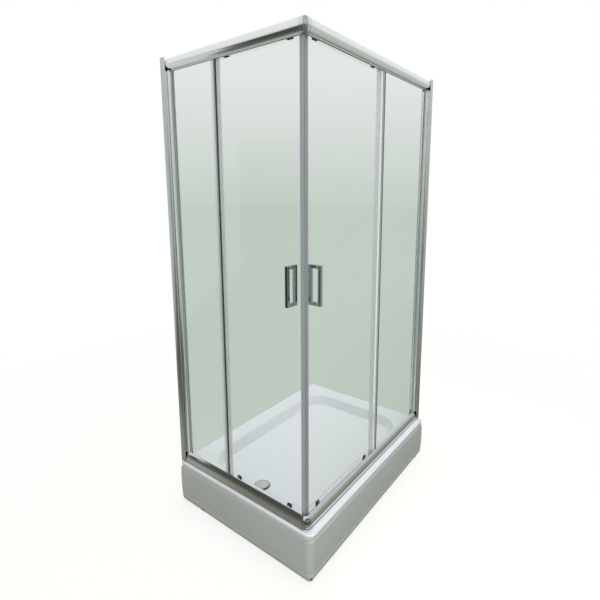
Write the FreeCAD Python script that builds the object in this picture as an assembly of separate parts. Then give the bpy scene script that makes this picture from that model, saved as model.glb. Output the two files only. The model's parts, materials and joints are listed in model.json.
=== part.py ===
import FreeCAD, Part
import os

os.makedirs("parts", exist_ok=True)

# Corner-entry shower enclosure: a rectangular tray with two glazed sides that meet at the door corner.
# Origin: centre of the tray on the floor. +Z up. The short "front" side faces -Y, the long "side" faces +X,
# the two open edges at -X and +Y stand against the room's walls.
# Each glazed side is drawn in its own frame: s runs along the side from the door corner,
# d runs inwards from the outer face of the frame, z is the height above the floor.

# ---------------------------------------------------------------- driving dimensions (mm)
tray_width = 800.0            # short side, along X
tray_length = 1100.0          # long side, along Y
tray_height = 222.0           # top of the rim above the floor
tray_wall = 5.0
rim_drop = 28.0               # height of the skirt round the rim
rim_edge_radius = 7.0
rim_face = 2.0                # upright face under that rounded edge
rim_draft = 6.0               # how far the skirt leans in below that face
tray_corner_radius = 30.0     # plan radius at the door corner
wall_corner_radius = 14.0     # plan radius of the other corners
basin_margin = 95.0           # flat rim between the tray's edge and the basin
basin_depth = 50.0
basin_corner_radius = 130.0
basin_slope = 24.0            # how far the basin's side leans in over its depth
basin_lip_radius = 6.0

apron_wall = 3.5
apron_tuck = 5.0              # height of the apron's top edge behind the skirt
apron_gap = 1.0               # clearance between the apron and the skirt
apron_floor_gap = 2.0
apron_shoulder_radius = 10.0  # round from the tucked edge out to the apron's face
apron_belly = 1.2             # how far the face bulges out beyond that shoulder
apron_low_inset = 4.0         # face round the groove, behind the tray's edge
apron_groove_height = 40.0
apron_groove_depth = 2.5
apron_groove_width = 5.0
apron_foot_inset = 16.0       # how far the apron's bottom edge is drawn in
apron_shoulder_drop = 1.5     # the shoulder starts this far below the skirt
apron_skirt_draw = 3.0        # inset of the skirting's middle behind the face above the groove

front_setback = 7.0           # outer face of the frame behind the tray's short edge
side_setback = 22.0           # and behind its long edge
frame_height = 1871.0         # wall profiles, above the rim

glass_thickness = 5.0
fixed_plane = 24.0            # centre of the fixed panes, inwards from the frame's face
door_plane = 35.5             # centre of the sliding doors
front_opening = 460.0         # door corner to the leading edge of the fixed pane
side_opening = 590.0
front_door_end = 480.0        # trailing edge of the door glass, doors closed
side_door_end = 580.0
door_lead = 46.0              # leading edge of the door glass from the corner

rail_wall = 1.5
rail_depth = 47.8
fit_gap = 0.3                 # between pieces that slide into each other when the frame is put together
rail_end_gap = 2.0            # rails stop this far short of the wall profile's back
top_rail_height = 52.0
top_rail_face = 4.0           # outermost point of the half-round top rail
half_round_height = 50.0
post_stand = 3.0              # wall profiles stand this much above the top rail
lip_rise = 18.0               # underside of the roller track above the rail's lower edge
lip_thickness = 2.0
lip_overlap = 0.5             # the track reaches this far under the wheels from their outer face
bottom_rail_height = 54.0
bottom_rail_inner_drop = 8.0  # inner wall of the glazing slot is lower than the outer one
bottom_rail_floor = 2.0       # thickness of the bottom rail under the guide rib
bottom_rail_upstand = 8.0     # inner edge of the bottom rail above that floor
bottom_rail_foot = 2.5        # height at which the convex face starts
bottom_rail_belly = 3.0       # how far the convex face leans out beyond a straight line
bottom_lip_height = 7.0
bottom_lip_groove = 2.0       # groove between the lip and the convex face
slot_depth = 22.0             # glazing slot in the rails
slot_floor_gap = 2.0          # under the lower glazing strip
gasket_thickness = 1.6
weep_slot_length = 60.0
weep_slot_height = 6.0
weep_slot_drop = 14.0         # middle of the slot below the rail's top
weep_slot_inset = 6.0         # end of the slot before the adjusting profile

post_width = 32.0             # outer wall profile, along s
post_depth = 50.0
post_wall = 2.0
post_crown = 1.5              # convexity of its outer face
inner_profile_reach = 19.0    # visible width of the adjusting profile
inner_profile_face = 8.0
inner_profile_gap = 2.0       # its hollow bar behind the wall profile's mouth
inner_profile_back_gap = 6.0  # room for adjustment behind it
glass_engagement = 12.0       # fixed glass inside the adjusting profile
glass_end_gap = 3.0           # room beyond the glass edge in that slot
gasket_bead = 5.0             # visible width of the dark gasket
gasket_bead_rise = 1.2        # how far the bead stands beyond the slot

corner_reach = 32.0           # corner connectors: plan radius to the frame's face
collar_length = 6.0
collar_lift = 0.9             # ridges on the connectors stand this proud
ridge_angles = (28.0, 41.0, 54.0)
ridge_sweep = 8.0
tongue_length = 30.0
tongue_gap = 0.4              # between a tongue and the web it lies against
top_tongue_height = 22.0
top_tongue_inset = 5.0        # front of the tongue behind the rail's outermost point
bottom_tongue_thickness = 5.0
bottom_tongue_inset = 8.0     # tongue above the rim
bottom_tongue_drop = 12.0     # tongue below the rail's top
corner_plate = 3.0            # plate that closes the top of the corner
mitre_gap = 0.1

wheel_radius = 9.8
wheel_groove_radius = 8.0
wheel_width = 6.0
wheel_plane = 40.0
wheel_edge = 0.6              # bevels on the wheel's rims
wheel_groove_clearance = 0.4  # beside the rib, each side
wheel_track_gap = 0.3
axle_radius = 2.5
axle_head_height = 1.5
axle_head_rim = 2.0           # the head is wider than the axle by this
running_clearance = 0.05
track_rib_width = 1.6
track_rib_height = 2.5
guide_rib_height = 14.0

bracket_lead = 94.0           # top roller bracket nearest the corner
guide_lead = 116.0            # bottom guide nearest the corner
hardware_trail = 76.0         # rear bracket and guide, in from the door's trailing edge
bracket_width = 26.0
guide_width = 20.0
clamp_wall = 2.6
clamp_top_grip = 15.0
clamp_bottom_grip = 18.0
clamp_back = 3.0              # clamp material beyond the glass edge
clamp_edge_radius = 2.0
clamp_track_gap = 2.0         # top clamps below the roller track
clamp_guide_gap = 0.9         # bottom clamps above the guide wheels
neck_thickness = 3.4
neck_width = 14.0
spacer_radius = 3.5
clamp_screw_radius = 3.0
clamp_head_radius = 4.5
clamp_head_sink = 0.2         # heads below the clamp's face

seal_wall = 1.5
magnet_clip = 6.0
magnet_gap = 0.8              # between the two magnetic strips when closed
seal_clip = 36.0              # width of the clear seal on the trailing edge
seal_clip_gap = 1.0           # between that seal and the rear bracket
seal_fin = 10.0
seal_fin_lean = 1.3           # the fin's tip leans out this far beyond the clip
seal_fin_thickness = 1.0
seal_tail = 6.0               # door seals hang this far below the glass
trim_overlap = 8.0
trim_nose = 2.0

handle_position = 98.0
handle_height = 965.0         # centre above the rim
handle_length = 156.0
handle_bar = 14.0
handle_standoff = 28.0
handle_edge_radius = 2.0
handle_bolt_radius = 3.0
handle_bolt_grip = 9.0
glass_hole_radius = 4.0

stop_length = 12.0
stop_gap = 1.0
wall_gap = 35.0               # door's trailing fin to the wall, door open
finger_gap = 31.0             # handle to the fixed pane's trim, door open

wall_hole_radius = 3.5
wall_hole_centre = 1110.0     # middle wall hole above the floor
wall_hole_spacing = 750.0
rail_screw_drop = 17.0        # screw below the top rail's upper edge
rail_screw_rise = 6.0         # screw above the rim, into the bottom rail
rail_screw_length = 6.0
screw_radius = 2.0
screw_head_radius = 4.0
screw_head_height = 2.0
profile_screw_spacing = 700.0

drain_x = 0.0                 # sideways from the tray's middle
drain_inset = 162.0           # middle of the drain from the tray's front edge
drain_flange_radius = 38.0
drain_flange_height = 3.0
drain_neck_radius = 30.0
drain_neck_wall = 3.0
drain_flange_edge = 1.8
drain_neck_length = 24.0
drain_seat_clearance = 0.5
drain_gasket_thickness = 2.0
trap_radius = 48.0
trap_depth = 96.0
trap_wall = 3.0
outlet_rise = 24.0            # middle of the outlet above the trap's underside
outlet_radius = 20.0
outlet_wall = 2.4
outlet_length = 60.0
outlet_collar_length = 12.0   # thicker root of the outlet, where the pipe's coupling stops
outlet_collar_rise = 2.5
cover_radius = 32.0
cover_rise = 7.0
cover_gap = 3.5
cover_wall = 2.0
cover_tube_radius = 25.0
cover_tube_length = 22.0
cover_seat_width = 5.0        # flat ring round the tube that rests above the flange
cover_seat_gap = 0.3
cover_window_width = 8.0
cover_window_inset = 4.0
cover_inlet_width = 10.0

tube_size = 25.0
tube_wall = 2.0
rail_inset = 150.0            # support rails from the tray's long edges
cross_inset = 70.0            # outer cross tubes from the tray's short edges
support_end_gap = 30.0        # ends of the tubes from the tray's edges
foot_rod_radius = 6.0
foot_rod_gap = 4.0            # above the rod inside its tube
foot_pad_radius = 23.0
foot_pad_top_radius = 14.0
foot_pad_height = 10.0
foot_socket_depth = 4.0
nut_radius = 11.0             # to its corners
nut_height = 8.0
lower_nut_height = 18.0       # underside of the lower nut above the floor
bracket_plate = 3.0
bracket_lift = 4.0            # brackets above the apron's lower edge
apron_bracket_width = 60.0
apron_nose_height = 16.0
apron_screw_radius = 2.5
apron_screw_head = 4.5
apron_screw_length = 12.0
corner_screw_angle = 30.0     # round the door corner from the long side
same_height = 0.01            # two heights closer than this count as one
past = 1.0                    # how far a cutting shape runs past the face that it cuts

# ---------------------------------------------------------------- derived places
corner_x = tray_width / 2 - side_setback
corner_y = -tray_length / 2 + front_setback
drain_y = -tray_length / 2 + drain_inset
rail_offset = tray_width / 2 - rail_inset
cross_offset = tray_length / 2 - cross_inset
rim_top = tray_height
frame_top = rim_top + frame_height
rail_top = frame_top - post_stand
rail_bottom = rail_top - top_rail_height
bottom_rail_top = rim_top + bottom_rail_height
half_glass = glass_thickness / 2

slot_outer = fixed_plane - half_glass - gasket_thickness
slot_inner = fixed_plane + half_glass + gasket_thickness
web_outer = slot_outer - rail_wall
web_inner = slot_inner + rail_wall
channel_inner = rail_depth - rail_wall

neck_outer = door_plane - neck_thickness
neck_inner = door_plane
door_outer = door_plane - half_glass
door_inner = door_plane + half_glass
fixed_outer = fixed_plane - half_glass
fixed_inner = fixed_plane + half_glass
clamp_outer = door_outer - clamp_wall
clamp_inner = door_inner + clamp_wall
seal_outer = door_outer - seal_wall
seal_inner = door_inner + seal_wall
wheel_outer_face = wheel_plane - wheel_width / 2
wheel_inner_face = wheel_plane + wheel_width / 2
lip_edge = wheel_outer_face + lip_overlap

lip_bottom = rail_bottom + lip_rise
lip_top = lip_bottom + lip_thickness
top_wheel_height = lip_top + track_rib_height + wheel_track_gap + wheel_groove_radius
guide_floor = rim_top + bottom_rail_floor
guide_wheel_height = guide_floor + guide_rib_height + wheel_track_gap + wheel_groove_radius
door_top = lip_bottom - clamp_track_gap - clamp_back
door_bottom = guide_wheel_height + wheel_radius + clamp_guide_gap + clamp_back
slot_ceiling = rail_bottom + slot_depth
slot_floor = bottom_rail_top - slot_depth - slot_floor_gap
slot_inner_top = bottom_rail_top - bottom_rail_inner_drop
fixed_top = slot_ceiling - slot_floor_gap - gasket_thickness
fixed_bottom = slot_floor + gasket_thickness
frame_low = bottom_rail_top + fit_gap
frame_high = rail_bottom - fit_gap
handle_centre = rim_top + handle_height
basin_floor = tray_height - basin_depth
basin_underside = basin_floor - tray_wall


def side_values(length, opening, door_end):
    """The lengths of one glazed side, all measured from the door corner."""
    wall_limit = length - wall_gap - (door_end + seal_fin)
    handle_limit = opening - trim_nose - finger_gap - (handle_position + handle_bar / 2)
    return {"length": length, "opening": opening, "door_end": door_end,
            "travel": min(wall_limit, handle_limit),
            "post": length - post_width,
            "profile": length - post_width - inner_profile_reach}


sides = {
    "front": side_values(tray_width - side_setback, front_opening, front_door_end),
    "side": side_values(tray_length - front_setback, side_opening, side_door_end),
}


# ---------------------------------------------------------------- helpers
def point(x, y, z):
    return FreeCAD.Vector(x, y, z)


up = point(0, 0, 1)


def block(s0, s1, d0, d1, z0, z1):
    """A box between two corners."""
    return Part.makeBox(s1 - s0, d1 - d0, z1 - z0, point(s0, d0, z0))


def outline(start, steps, to_point):
    """A closed face from a start and steps; a step is a point, or (middle, end) for an arc."""
    edges = []
    here = start
    for step in steps:
        if isinstance(step[0], tuple):
            middle, end = step
            edges.append(Part.Arc(to_point(*here), to_point(*middle), to_point(*end)).toShape())
        else:
            end = step
            edges.append(Part.makeLine(to_point(*here), to_point(*end)))
        here = end
    if here != start:
        edges.append(Part.makeLine(to_point(*here), to_point(*start)))
    return Part.Face(Part.Wire(edges))


def extrusion(s0, s1, start, steps):
    """A bar with a cross section drawn in (d, z), from s0 to s1 along a side."""
    face = outline(start, steps, lambda d, z: point(s0, d, z))
    return face.extrude(point(s1 - s0, 0, 0))


def upright(z0, z1, start, steps):
    """An upright bar with a plan drawn in (s, d), from z0 to z1."""
    face = outline(start, steps, lambda s, d: point(s, d, z0))
    return face.extrude(up * (z1 - z0))


def pin(s, z, d0, d1, radius):
    """A round bar that runs inwards, along d."""
    return Part.makeCylinder(radius, d1 - d0, point(s, d0, z), point(0, 1, 0))


def disc(x, y, z0, z1, radius):
    """An upright round bar."""
    return Part.makeCylinder(radius, z1 - z0, point(x, y, z0))


def edges_above(shape, height):
    """The edges that lie in the shape's top face at that height."""
    return [edge for edge in shape.Edges if edge.BoundBox.ZMin > height - same_height]


def cut_all(shape, tools):
    for tool in tools:
        shape = shape.cut(tool)
    return shape


def fuse_all(shapes):
    return shapes[0].fuse(shapes[1:]).removeSplitter()


def place(shape, name):
    """Moves a shape from a side's own frame to its place on the tray."""
    if name == "front":
        placed = shape.mirror(point(0, 0, 0), point(1, 0, 0))
    else:
        placed = shape.copy()
        placed.rotate(point(0, 0, 0), up, 90)
    placed.translate(point(corner_x, corner_y, 0))
    return placed


def place_all(shapes, name):
    return [place(shape, name) for shape in shapes]


def save(node, pieces):
    """Writes one piece, or a group of separate solids, as one node."""
    if isinstance(pieces, list):
        solids = [solid for piece in pieces for solid in piece.Solids]
        shape = Part.makeCompound(solids)
    else:
        shape = pieces
    shape.exportStep("parts/" + node + ".step")
    print(node, len(shape.Solids), "solids", round(shape.Volume / 1000, 1), "cm3", shape.isValid())


# ---------------------------------------------------------------- tray
skirt_bottom = tray_height - rim_drop
skirt_top = tray_height - rim_edge_radius - rim_face


def rounded_plan(x0, x1, y0, y1, radii, z):
    """A rectangle in plan with a radius at each corner, from the door corner round against the clock."""
    inset = 1 - 2 ** -0.5
    door, side_end, back, front_end = radii
    start = (x0 + front_end, y0)
    steps = [
        (x1 - door, y0),
        ((x1 - door * inset, y0 + door * inset), (x1, y0 + door)),
        (x1, y1 - side_end),
        ((x1 - side_end * inset, y1 - side_end * inset), (x1 - side_end, y1)),
        (x0 + back, y1),
        ((x0 + back * inset, y1 - back * inset), (x0, y1 - back)),
        (x0, y0 + front_end),
        ((x0 + front_end * inset, y0 + front_end * inset), start),
    ]
    return outline(start, steps, lambda x, y: point(x, y, z))


def tray_plan(inset, radii, z):
    half_width = tray_width / 2 - inset
    half_length = tray_length / 2 - inset
    return rounded_plan(-half_width, half_width, -half_length, half_length, radii, z)


def rim_solid(inset, top):
    """The block inside the skirt's line: it leans in below and stands upright above."""
    faces = []
    for shift, z in ((inset + rim_draft, skirt_bottom), (inset, skirt_top)):
        radii = [tray_corner_radius - shift] + [wall_corner_radius - shift] * 3
        faces.append(tray_plan(shift, radii, z))
    leaning = Part.makeLoft([face.OuterWire for face in faces], True, True)
    return fuse_all([leaning, faces[1].extrude(up * (top - skirt_top))])


def make_tray():
    rim = rim_solid(0, tray_height)
    rim = rim.makeFillet(rim_edge_radius, edges_above(rim, tray_height))
    hollow = rim_solid(tray_wall, tray_height - tray_wall)
    bowl_radii = [basin_corner_radius + tray_wall] * 4
    bowl = tray_plan(basin_margin - tray_wall, bowl_radii, basin_underside)
    bowl = bowl.extrude(up * (tray_height - tray_wall - basin_underside))
    shell = rim.cut(hollow).fuse(bowl).removeSplitter()
    upper = tray_plan(basin_margin, [basin_corner_radius] * 4, tray_height)
    lower = tray_plan(basin_margin + basin_slope, [basin_corner_radius - basin_slope] * 4, basin_floor)
    shell = shell.cut(Part.makeLoft([upper.OuterWire, lower.OuterWire], True, True))
    rim_reach = tray_width / 2 - (basin_margin + rim_edge_radius) / 2
    lip = [edge for edge in edges_above(shell, tray_height) if edge.BoundBox.XMax < rim_reach
           and edge.BoundBox.XMin > -rim_reach]
    lip = [edge for edge in lip if max(abs(v.Y) for v in edge.Vertexes) < tray_length / 2 - basin_margin / 2]
    shell = shell.makeFillet(basin_lip_radius, lip)
    hole = disc(drain_x, drain_y, basin_underside - past, basin_floor + past,
                drain_neck_radius + drain_seat_clearance)
    return shell.cut(hole)


# ---------------------------------------------------------------- apron
apron_top_inset = rim_draft + tray_wall + apron_gap
apron_edge_inset = apron_top_inset - apron_shoulder_radius
apron_shoulder = skirt_bottom - apron_shoulder_drop
apron_top = skirt_bottom + apron_tuck
apron_groove_top = apron_groove_height + apron_groove_width / 2
apron_groove_bottom = apron_groove_height - apron_groove_width / 2
apron_skirt_height = apron_groove_bottom / 2
apron_skirt_inset = apron_low_inset + apron_skirt_draw


def apron_line(shift):
    """The apron's outer line, as (inset from the tray's edge, z), from the top down; shift moves it inwards."""
    shoulder_end = apron_shoulder - apron_shoulder_radius
    bend = (apron_shoulder_radius - shift) * 2 ** -0.5
    belly_height = (shoulder_end + apron_groove_top) / 2
    return [
        (shift + apron_top_inset, apron_top),
        (shift + apron_top_inset, apron_shoulder - shift),
        ((apron_top_inset - bend, shoulder_end + bend), (shift + apron_edge_inset, shoulder_end)),
        ((shift + apron_edge_inset - apron_belly, belly_height), (shift + apron_low_inset, apron_groove_top)),
        (shift + apron_low_inset + apron_groove_depth, apron_groove_height),
        (shift + apron_low_inset, apron_groove_bottom),
        ((shift + apron_skirt_inset, apron_skirt_height), (shift + apron_foot_inset, apron_floor_gap)),
    ]


def reversed_line(line):
    """The same line from its last point to its first, arcs kept."""
    ends = [step[1] if isinstance(step[0], tuple) else step for step in line]
    back = [ends[-1]]
    for index in range(len(line) - 1, 0, -1):
        step = line[index]
        back.append((step[0], ends[index - 1]) if isinstance(step[0], tuple) else ends[index - 1])
    return back


def round_two_edges(line):
    """Sweeps a closed profile along the front edge, round the door corner and along the long edge."""
    edge_x = tray_width / 2
    edge_y = -tray_length / 2
    radius = tray_corner_radius
    face = outline(line[0], line[1:], lambda inset, z: point(-edge_x, edge_y + inset, z))
    front = face.extrude(point(tray_width - radius, 0, 0))
    face.translate(point(tray_width - radius, 0, 0))
    centre = point(edge_x - radius, edge_y + radius, 0)
    corner = face.revolve(centre, up, 90)
    face.rotate(centre, up, 90)
    side = face.extrude(point(0, tray_length - radius, 0))
    return fuse_all([front, corner, side])


def make_apron():
    """The L-shaped front; its tucked edge stops short of the skirt's end walls."""
    apron = round_two_edges(apron_line(0) + reversed_line(apron_line(apron_wall)))
    half_width = tray_width / 2
    half_length = tray_length / 2
    low = skirt_bottom - apron_gap
    notch = wall_corner_radius + rim_draft + apron_gap
    ends = [block(-half_width, -half_width + notch, -half_length, half_length, low, apron_top),
            block(-half_width, half_width, half_length - notch, half_length, low, apron_top)]
    return cut_all(apron, ends)


def apron_and_beyond():
    """Everything outside the apron's back face, to shape what leans on that face."""
    beyond = -tray_corner_radius
    line = apron_line(apron_wall)
    return round_two_edges(line + [(beyond, apron_floor_gap), (beyond, apron_top)])


# ---------------------------------------------------------------- support under the tray
tube_end_x = tray_width / 2 - support_end_gap
tube_end_y = tray_length / 2 - support_end_gap
tube_bottom = basin_underside - tube_size
cross_places = (-cross_offset, 0.0, cross_offset)
foot_places = [(x, y) for x in (-rail_offset, rail_offset) for y in cross_places]


def square_tube(x0, x1, y0, y1):
    """A hollow square tube along the longer of its two plan sides."""
    outer = block(x0, x1, y0, y1, tube_bottom, basin_underside)
    wall_x = 0 if x1 - x0 > y1 - y0 else tube_wall
    wall_y = tube_wall - wall_x
    return outer.cut(block(x0 + wall_x, x1 - wall_x, y0 + wall_y, y1 - wall_y,
                           tube_bottom + tube_wall, basin_underside - tube_wall))


def make_support_frame():
    half = tube_size / 2
    tubes = [square_tube(x - half, x + half, -tube_end_y, tube_end_y) for x in (-rail_offset, rail_offset)]
    spans = ((-tube_end_x, -rail_offset - half), (-rail_offset + half, rail_offset - half),
             (rail_offset + half, tube_end_x))
    for y in cross_places:
        for x0, x1 in spans:
            tubes.append(square_tube(x0, x1, y - half, y + half))
    holes = [disc(x, y, tube_bottom, tube_bottom + tube_wall, foot_rod_radius) for x, y in foot_places]
    return cut_all(fuse_all(tubes), holes)


def make_nut(x, y, z):
    corners = []
    for turn in range(7):
        spoke = FreeCAD.Rotation(up, 60 * turn).multVec(point(nut_radius, 0, 0))
        corners.append(point(x, y, z) + spoke)
    hexagon = Part.Face(Part.makePolygon(corners)).extrude(up * nut_height)
    return hexagon.cut(disc(x, y, z, z + nut_height, foot_rod_radius))


def make_feet():
    socket_floor = foot_pad_height - foot_socket_depth
    rod_top = basin_underside - tube_wall - foot_rod_gap
    rods = [disc(x, y, socket_floor, rod_top, foot_rod_radius) for x, y in foot_places]
    pads = []
    nuts = []
    for x, y in foot_places:
        pad = Part.makeCone(foot_pad_radius, foot_pad_top_radius, foot_pad_height, point(x, y, 0))
        pads.append(pad.cut(disc(x, y, socket_floor, foot_pad_height, foot_rod_radius)))
        nuts.append(make_nut(x, y, tube_bottom - nut_height))
        nuts.append(make_nut(x, y, lower_nut_height))
    return rods, pads, nuts


def make_apron_brackets():
    """Plates on the tube ends; two noses on each reach out and follow the curve of the apron's back."""
    half = apron_bracket_width / 2
    low = apron_floor_gap + bracket_lift
    noses = ((low, low + apron_nose_height), (basin_underside - apron_nose_height, basin_underside))
    outside = apron_and_beyond()
    corner_reach_y = -tray_length / 2 + apron_wall
    brackets = []
    for y in cross_places:
        pieces = [block(tube_end_x, tube_end_x + bracket_plate, y - half, y + half, low, basin_underside)]
        for z0, z1 in noses:
            start = corner_reach_y if y == cross_places[0] and z0 == low else y - half
            pieces.append(block(tube_end_x, tray_width / 2, start, y + half, z0, z1))
        brackets.append(fuse_all(pieces))
    for x in (-rail_offset, rail_offset):
        pieces = [block(x - half, x + half, -tube_end_y - bracket_plate, -tube_end_y, low, basin_underside)]
        for z0, z1 in noses:
            pieces.append(block(x - half, x + half, -tray_length / 2, -tube_end_y, z0, z1))
        brackets.append(fuse_all(pieces))
    return [bracket.cut(outside) for bracket in brackets]


def apron_screw(x, y, outwards):
    """A screw from the apron's face into a bracket's nose."""
    start = point(x, y, apron_skirt_height)
    shank = Part.makeCylinder(apron_screw_radius, apron_screw_length, start, outwards * -1)
    head = Part.makeCylinder(apron_screw_head, screw_head_height, start, outwards)
    return fuse_all([shank, head])


# ---------------------------------------------------------------- drain
def ring(radius, bore, z0, z1):
    return disc(drain_x, drain_y, z0, z1, radius).cut(disc(drain_x, drain_y, z0, z1, bore))


flange_top = basin_floor + drain_flange_height
neck_bottom = basin_floor - drain_neck_length
trap_top = basin_underside - drain_gasket_thickness
trap_bottom = trap_top - trap_depth
outlet_height = trap_bottom + outlet_rise


def make_drain_flange():
    plate = disc(drain_x, drain_y, basin_floor, flange_top, drain_flange_radius)
    plate = plate.makeFillet(drain_flange_edge, edges_above(plate, flange_top))
    neck = disc(drain_x, drain_y, neck_bottom, basin_floor, drain_neck_radius)
    way = disc(drain_x, drain_y, neck_bottom, flange_top, drain_neck_radius - drain_neck_wall)
    return fuse_all([plate, neck]).cut(way)


def make_drain_trap():
    body = disc(drain_x, drain_y, trap_bottom, trap_top, trap_radius)
    outwards = point(-1, 0, 0)
    start = point(drain_x - trap_radius + trap_wall, drain_y, outlet_height)
    pipe = Part.makeCylinder(outlet_radius, outlet_length + trap_wall, start, outwards)
    collar = Part.makeCylinder(outlet_radius + outlet_collar_rise, outlet_collar_length + trap_wall, start, outwards)
    way = Part.makeCylinder(outlet_radius - outlet_wall, outlet_length + 2 * trap_wall,
                            start + point(trap_wall, 0, 0), outwards)
    inside = disc(drain_x, drain_y, trap_bottom + trap_wall, trap_top - trap_wall, trap_radius - trap_wall)
    mouth = disc(drain_x, drain_y, trap_top - trap_wall, trap_top, drain_neck_radius)
    return cut_all(fuse_all([body, pipe, collar]), [inside, mouth, way])


def make_drain_cover():
    """A shallow dome on a slotted tube that drops into the flange."""
    rim = flange_top + cover_gap
    crown = rim + cover_rise
    tube_bottom_end = flange_top - cover_tube_length
    sphere_radius = (cover_radius ** 2 + cover_rise ** 2) / (2 * cover_rise)
    centre = point(drain_x, drain_y, crown - sphere_radius)
    above = disc(drain_x, drain_y, rim, crown + past, cover_radius)
    outer = Part.makeSphere(sphere_radius, centre)
    inner = Part.makeSphere(sphere_radius - cover_wall, centre)
    dome = outer.common(above).cut(inner)
    tube = disc(drain_x, drain_y, tube_bottom_end, crown, cover_tube_radius).common(outer)
    bore = disc(drain_x, drain_y, tube_bottom_end, crown, cover_tube_radius - cover_wall).common(inner)
    seat_bottom = flange_top + cover_seat_gap
    seat = ring(cover_tube_radius + cover_seat_width, cover_tube_radius, seat_bottom, seat_bottom + cover_wall)
    cover = fuse_all([dome, tube, seat]).cut(bore)
    half_window = cover_window_width / 2
    window = block(-cover_radius, cover_radius, -half_window, half_window,
                   tube_bottom_end + cover_window_inset, flange_top - cover_window_inset)
    half_inlet = cover_inlet_width / 2
    inlet = block(-cover_radius, cover_radius, -half_inlet, half_inlet, seat_bottom + cover_wall, rim)
    slots = across_the_drain(window, 0) + across_the_drain(inlet, 30)
    return cut_all(cover, slots)


def across_the_drain(slot, first):
    """Three turned copies of a slot that runs right across the drain."""
    slots = []
    for turn in (first, first + 60, first + 120):
        turned = slot.copy()
        turned.rotate(point(0, 0, 0), up, turn)
        turned.translate(point(drain_x, drain_y, 0))
        slots.append(turned)
    return slots


# ---------------------------------------------------------------- rails and corner connectors
collar_end = corner_reach + collar_length
half_round_middle = rail_top - half_round_height / 2


def half_round(lift):
    """The half-round front of the top rail, grown all round by lift: start and steps in (d, z)."""
    high = rail_top + lift
    low = rail_top - half_round_height - lift
    face = top_rail_face - lift
    arc = ((face, half_round_middle), (web_outer, high))
    return (web_outer, low), [arc, (slot_outer, high), (slot_outer, low)]


def mitre(z0, z1):
    """What each rail loses at the inner corner, where the two sides meet on the diagonal."""
    near = collar_end - past
    far = rail_depth + past
    return upright(z0, z1, (near, near - mitre_gap), [(far, far - mitre_gap), (near, far - mitre_gap)])


def track_rib(side, z, height):
    """The rib that the wheels run on or along."""
    half = track_rib_width / 2
    return block(rail_depth + past, rail_end(side), wheel_plane - half, wheel_plane + half, z, z + height)


def rail_end(side):
    return side["length"] - post_wall - rail_end_gap


def make_top_rail(side):
    start = collar_end
    end = rail_end(side)
    s0 = start - past
    s1 = end + past
    front_start, front_steps = half_round(0.0)
    front = extrusion(start, end, front_start, front_steps)
    rear = block(start, end, web_outer, rail_depth, rail_bottom, rail_top)
    rail = fuse_all([front, rear])
    ceiling = rail_top - rail_wall
    hollow_steps = [((top_rail_face + rail_wall, half_round_middle), (web_outer, ceiling))]
    hollow = extrusion(s0, s1, (web_outer, rail_top - half_round_height + rail_wall), hollow_steps)
    cuts = [
        hollow,
        block(s0, s1, slot_outer, slot_inner, rail_bottom - past, slot_ceiling),
        block(s0, s1, slot_outer, slot_inner, slot_ceiling + rail_wall, ceiling),
        block(s0, s1, web_inner, rail_depth + past, rail_bottom - past, lip_bottom),
        block(s0, s1, web_inner, lip_edge, lip_bottom - past, lip_top),
        block(s0, s1, web_inner, channel_inner, lip_top, ceiling),
        mitre(rail_bottom - past, rail_top + past),
    ]
    rail = fuse_all([cut_all(rail, cuts), track_rib(side, lip_top, track_rib_height)])
    return rail.cut(rail_screw(side, rail_screw_heights[1], rail_screw_length))


bottom_arc_start = (bottom_lip_groove + rail_wall, rim_top + bottom_rail_foot)
bottom_arc_end = (web_outer - rail_wall, bottom_rail_top)
bottom_arc_middle = ((bottom_arc_start[0] + bottom_arc_end[0]) / 2 - bottom_rail_belly,
                     (bottom_arc_start[1] + bottom_arc_end[1]) / 2 + bottom_rail_belly)


def bottom_rail_outline(back):
    """The bottom rail's outside, from its lip over the convex face to its top, in (d, z)."""
    lip_top_height = rim_top + bottom_lip_height
    lip_back = fit_gap + rail_wall
    steps = [(fit_gap, lip_top_height), (lip_back, lip_top_height), (lip_back, bottom_arc_start[1]),
             bottom_arc_start, (bottom_arc_middle, bottom_arc_end), (back, bottom_rail_top)]
    return (fit_gap, rim_top), steps


def weep_slot(side):
    """The oblong slot through the bottom rail's outer face that lets water out of its chamber."""
    half = weep_slot_height / 2
    z = bottom_rail_top - weep_slot_drop
    last = side["profile"] - weep_slot_inset - half
    first = last - weep_slot_length + weep_slot_height
    middle = block(first, last, 0, web_outer, z - half, z + half)
    return fuse_all([middle, pin(first, z, 0, web_outer, half), pin(last, z, 0, web_outer, half)])


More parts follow.
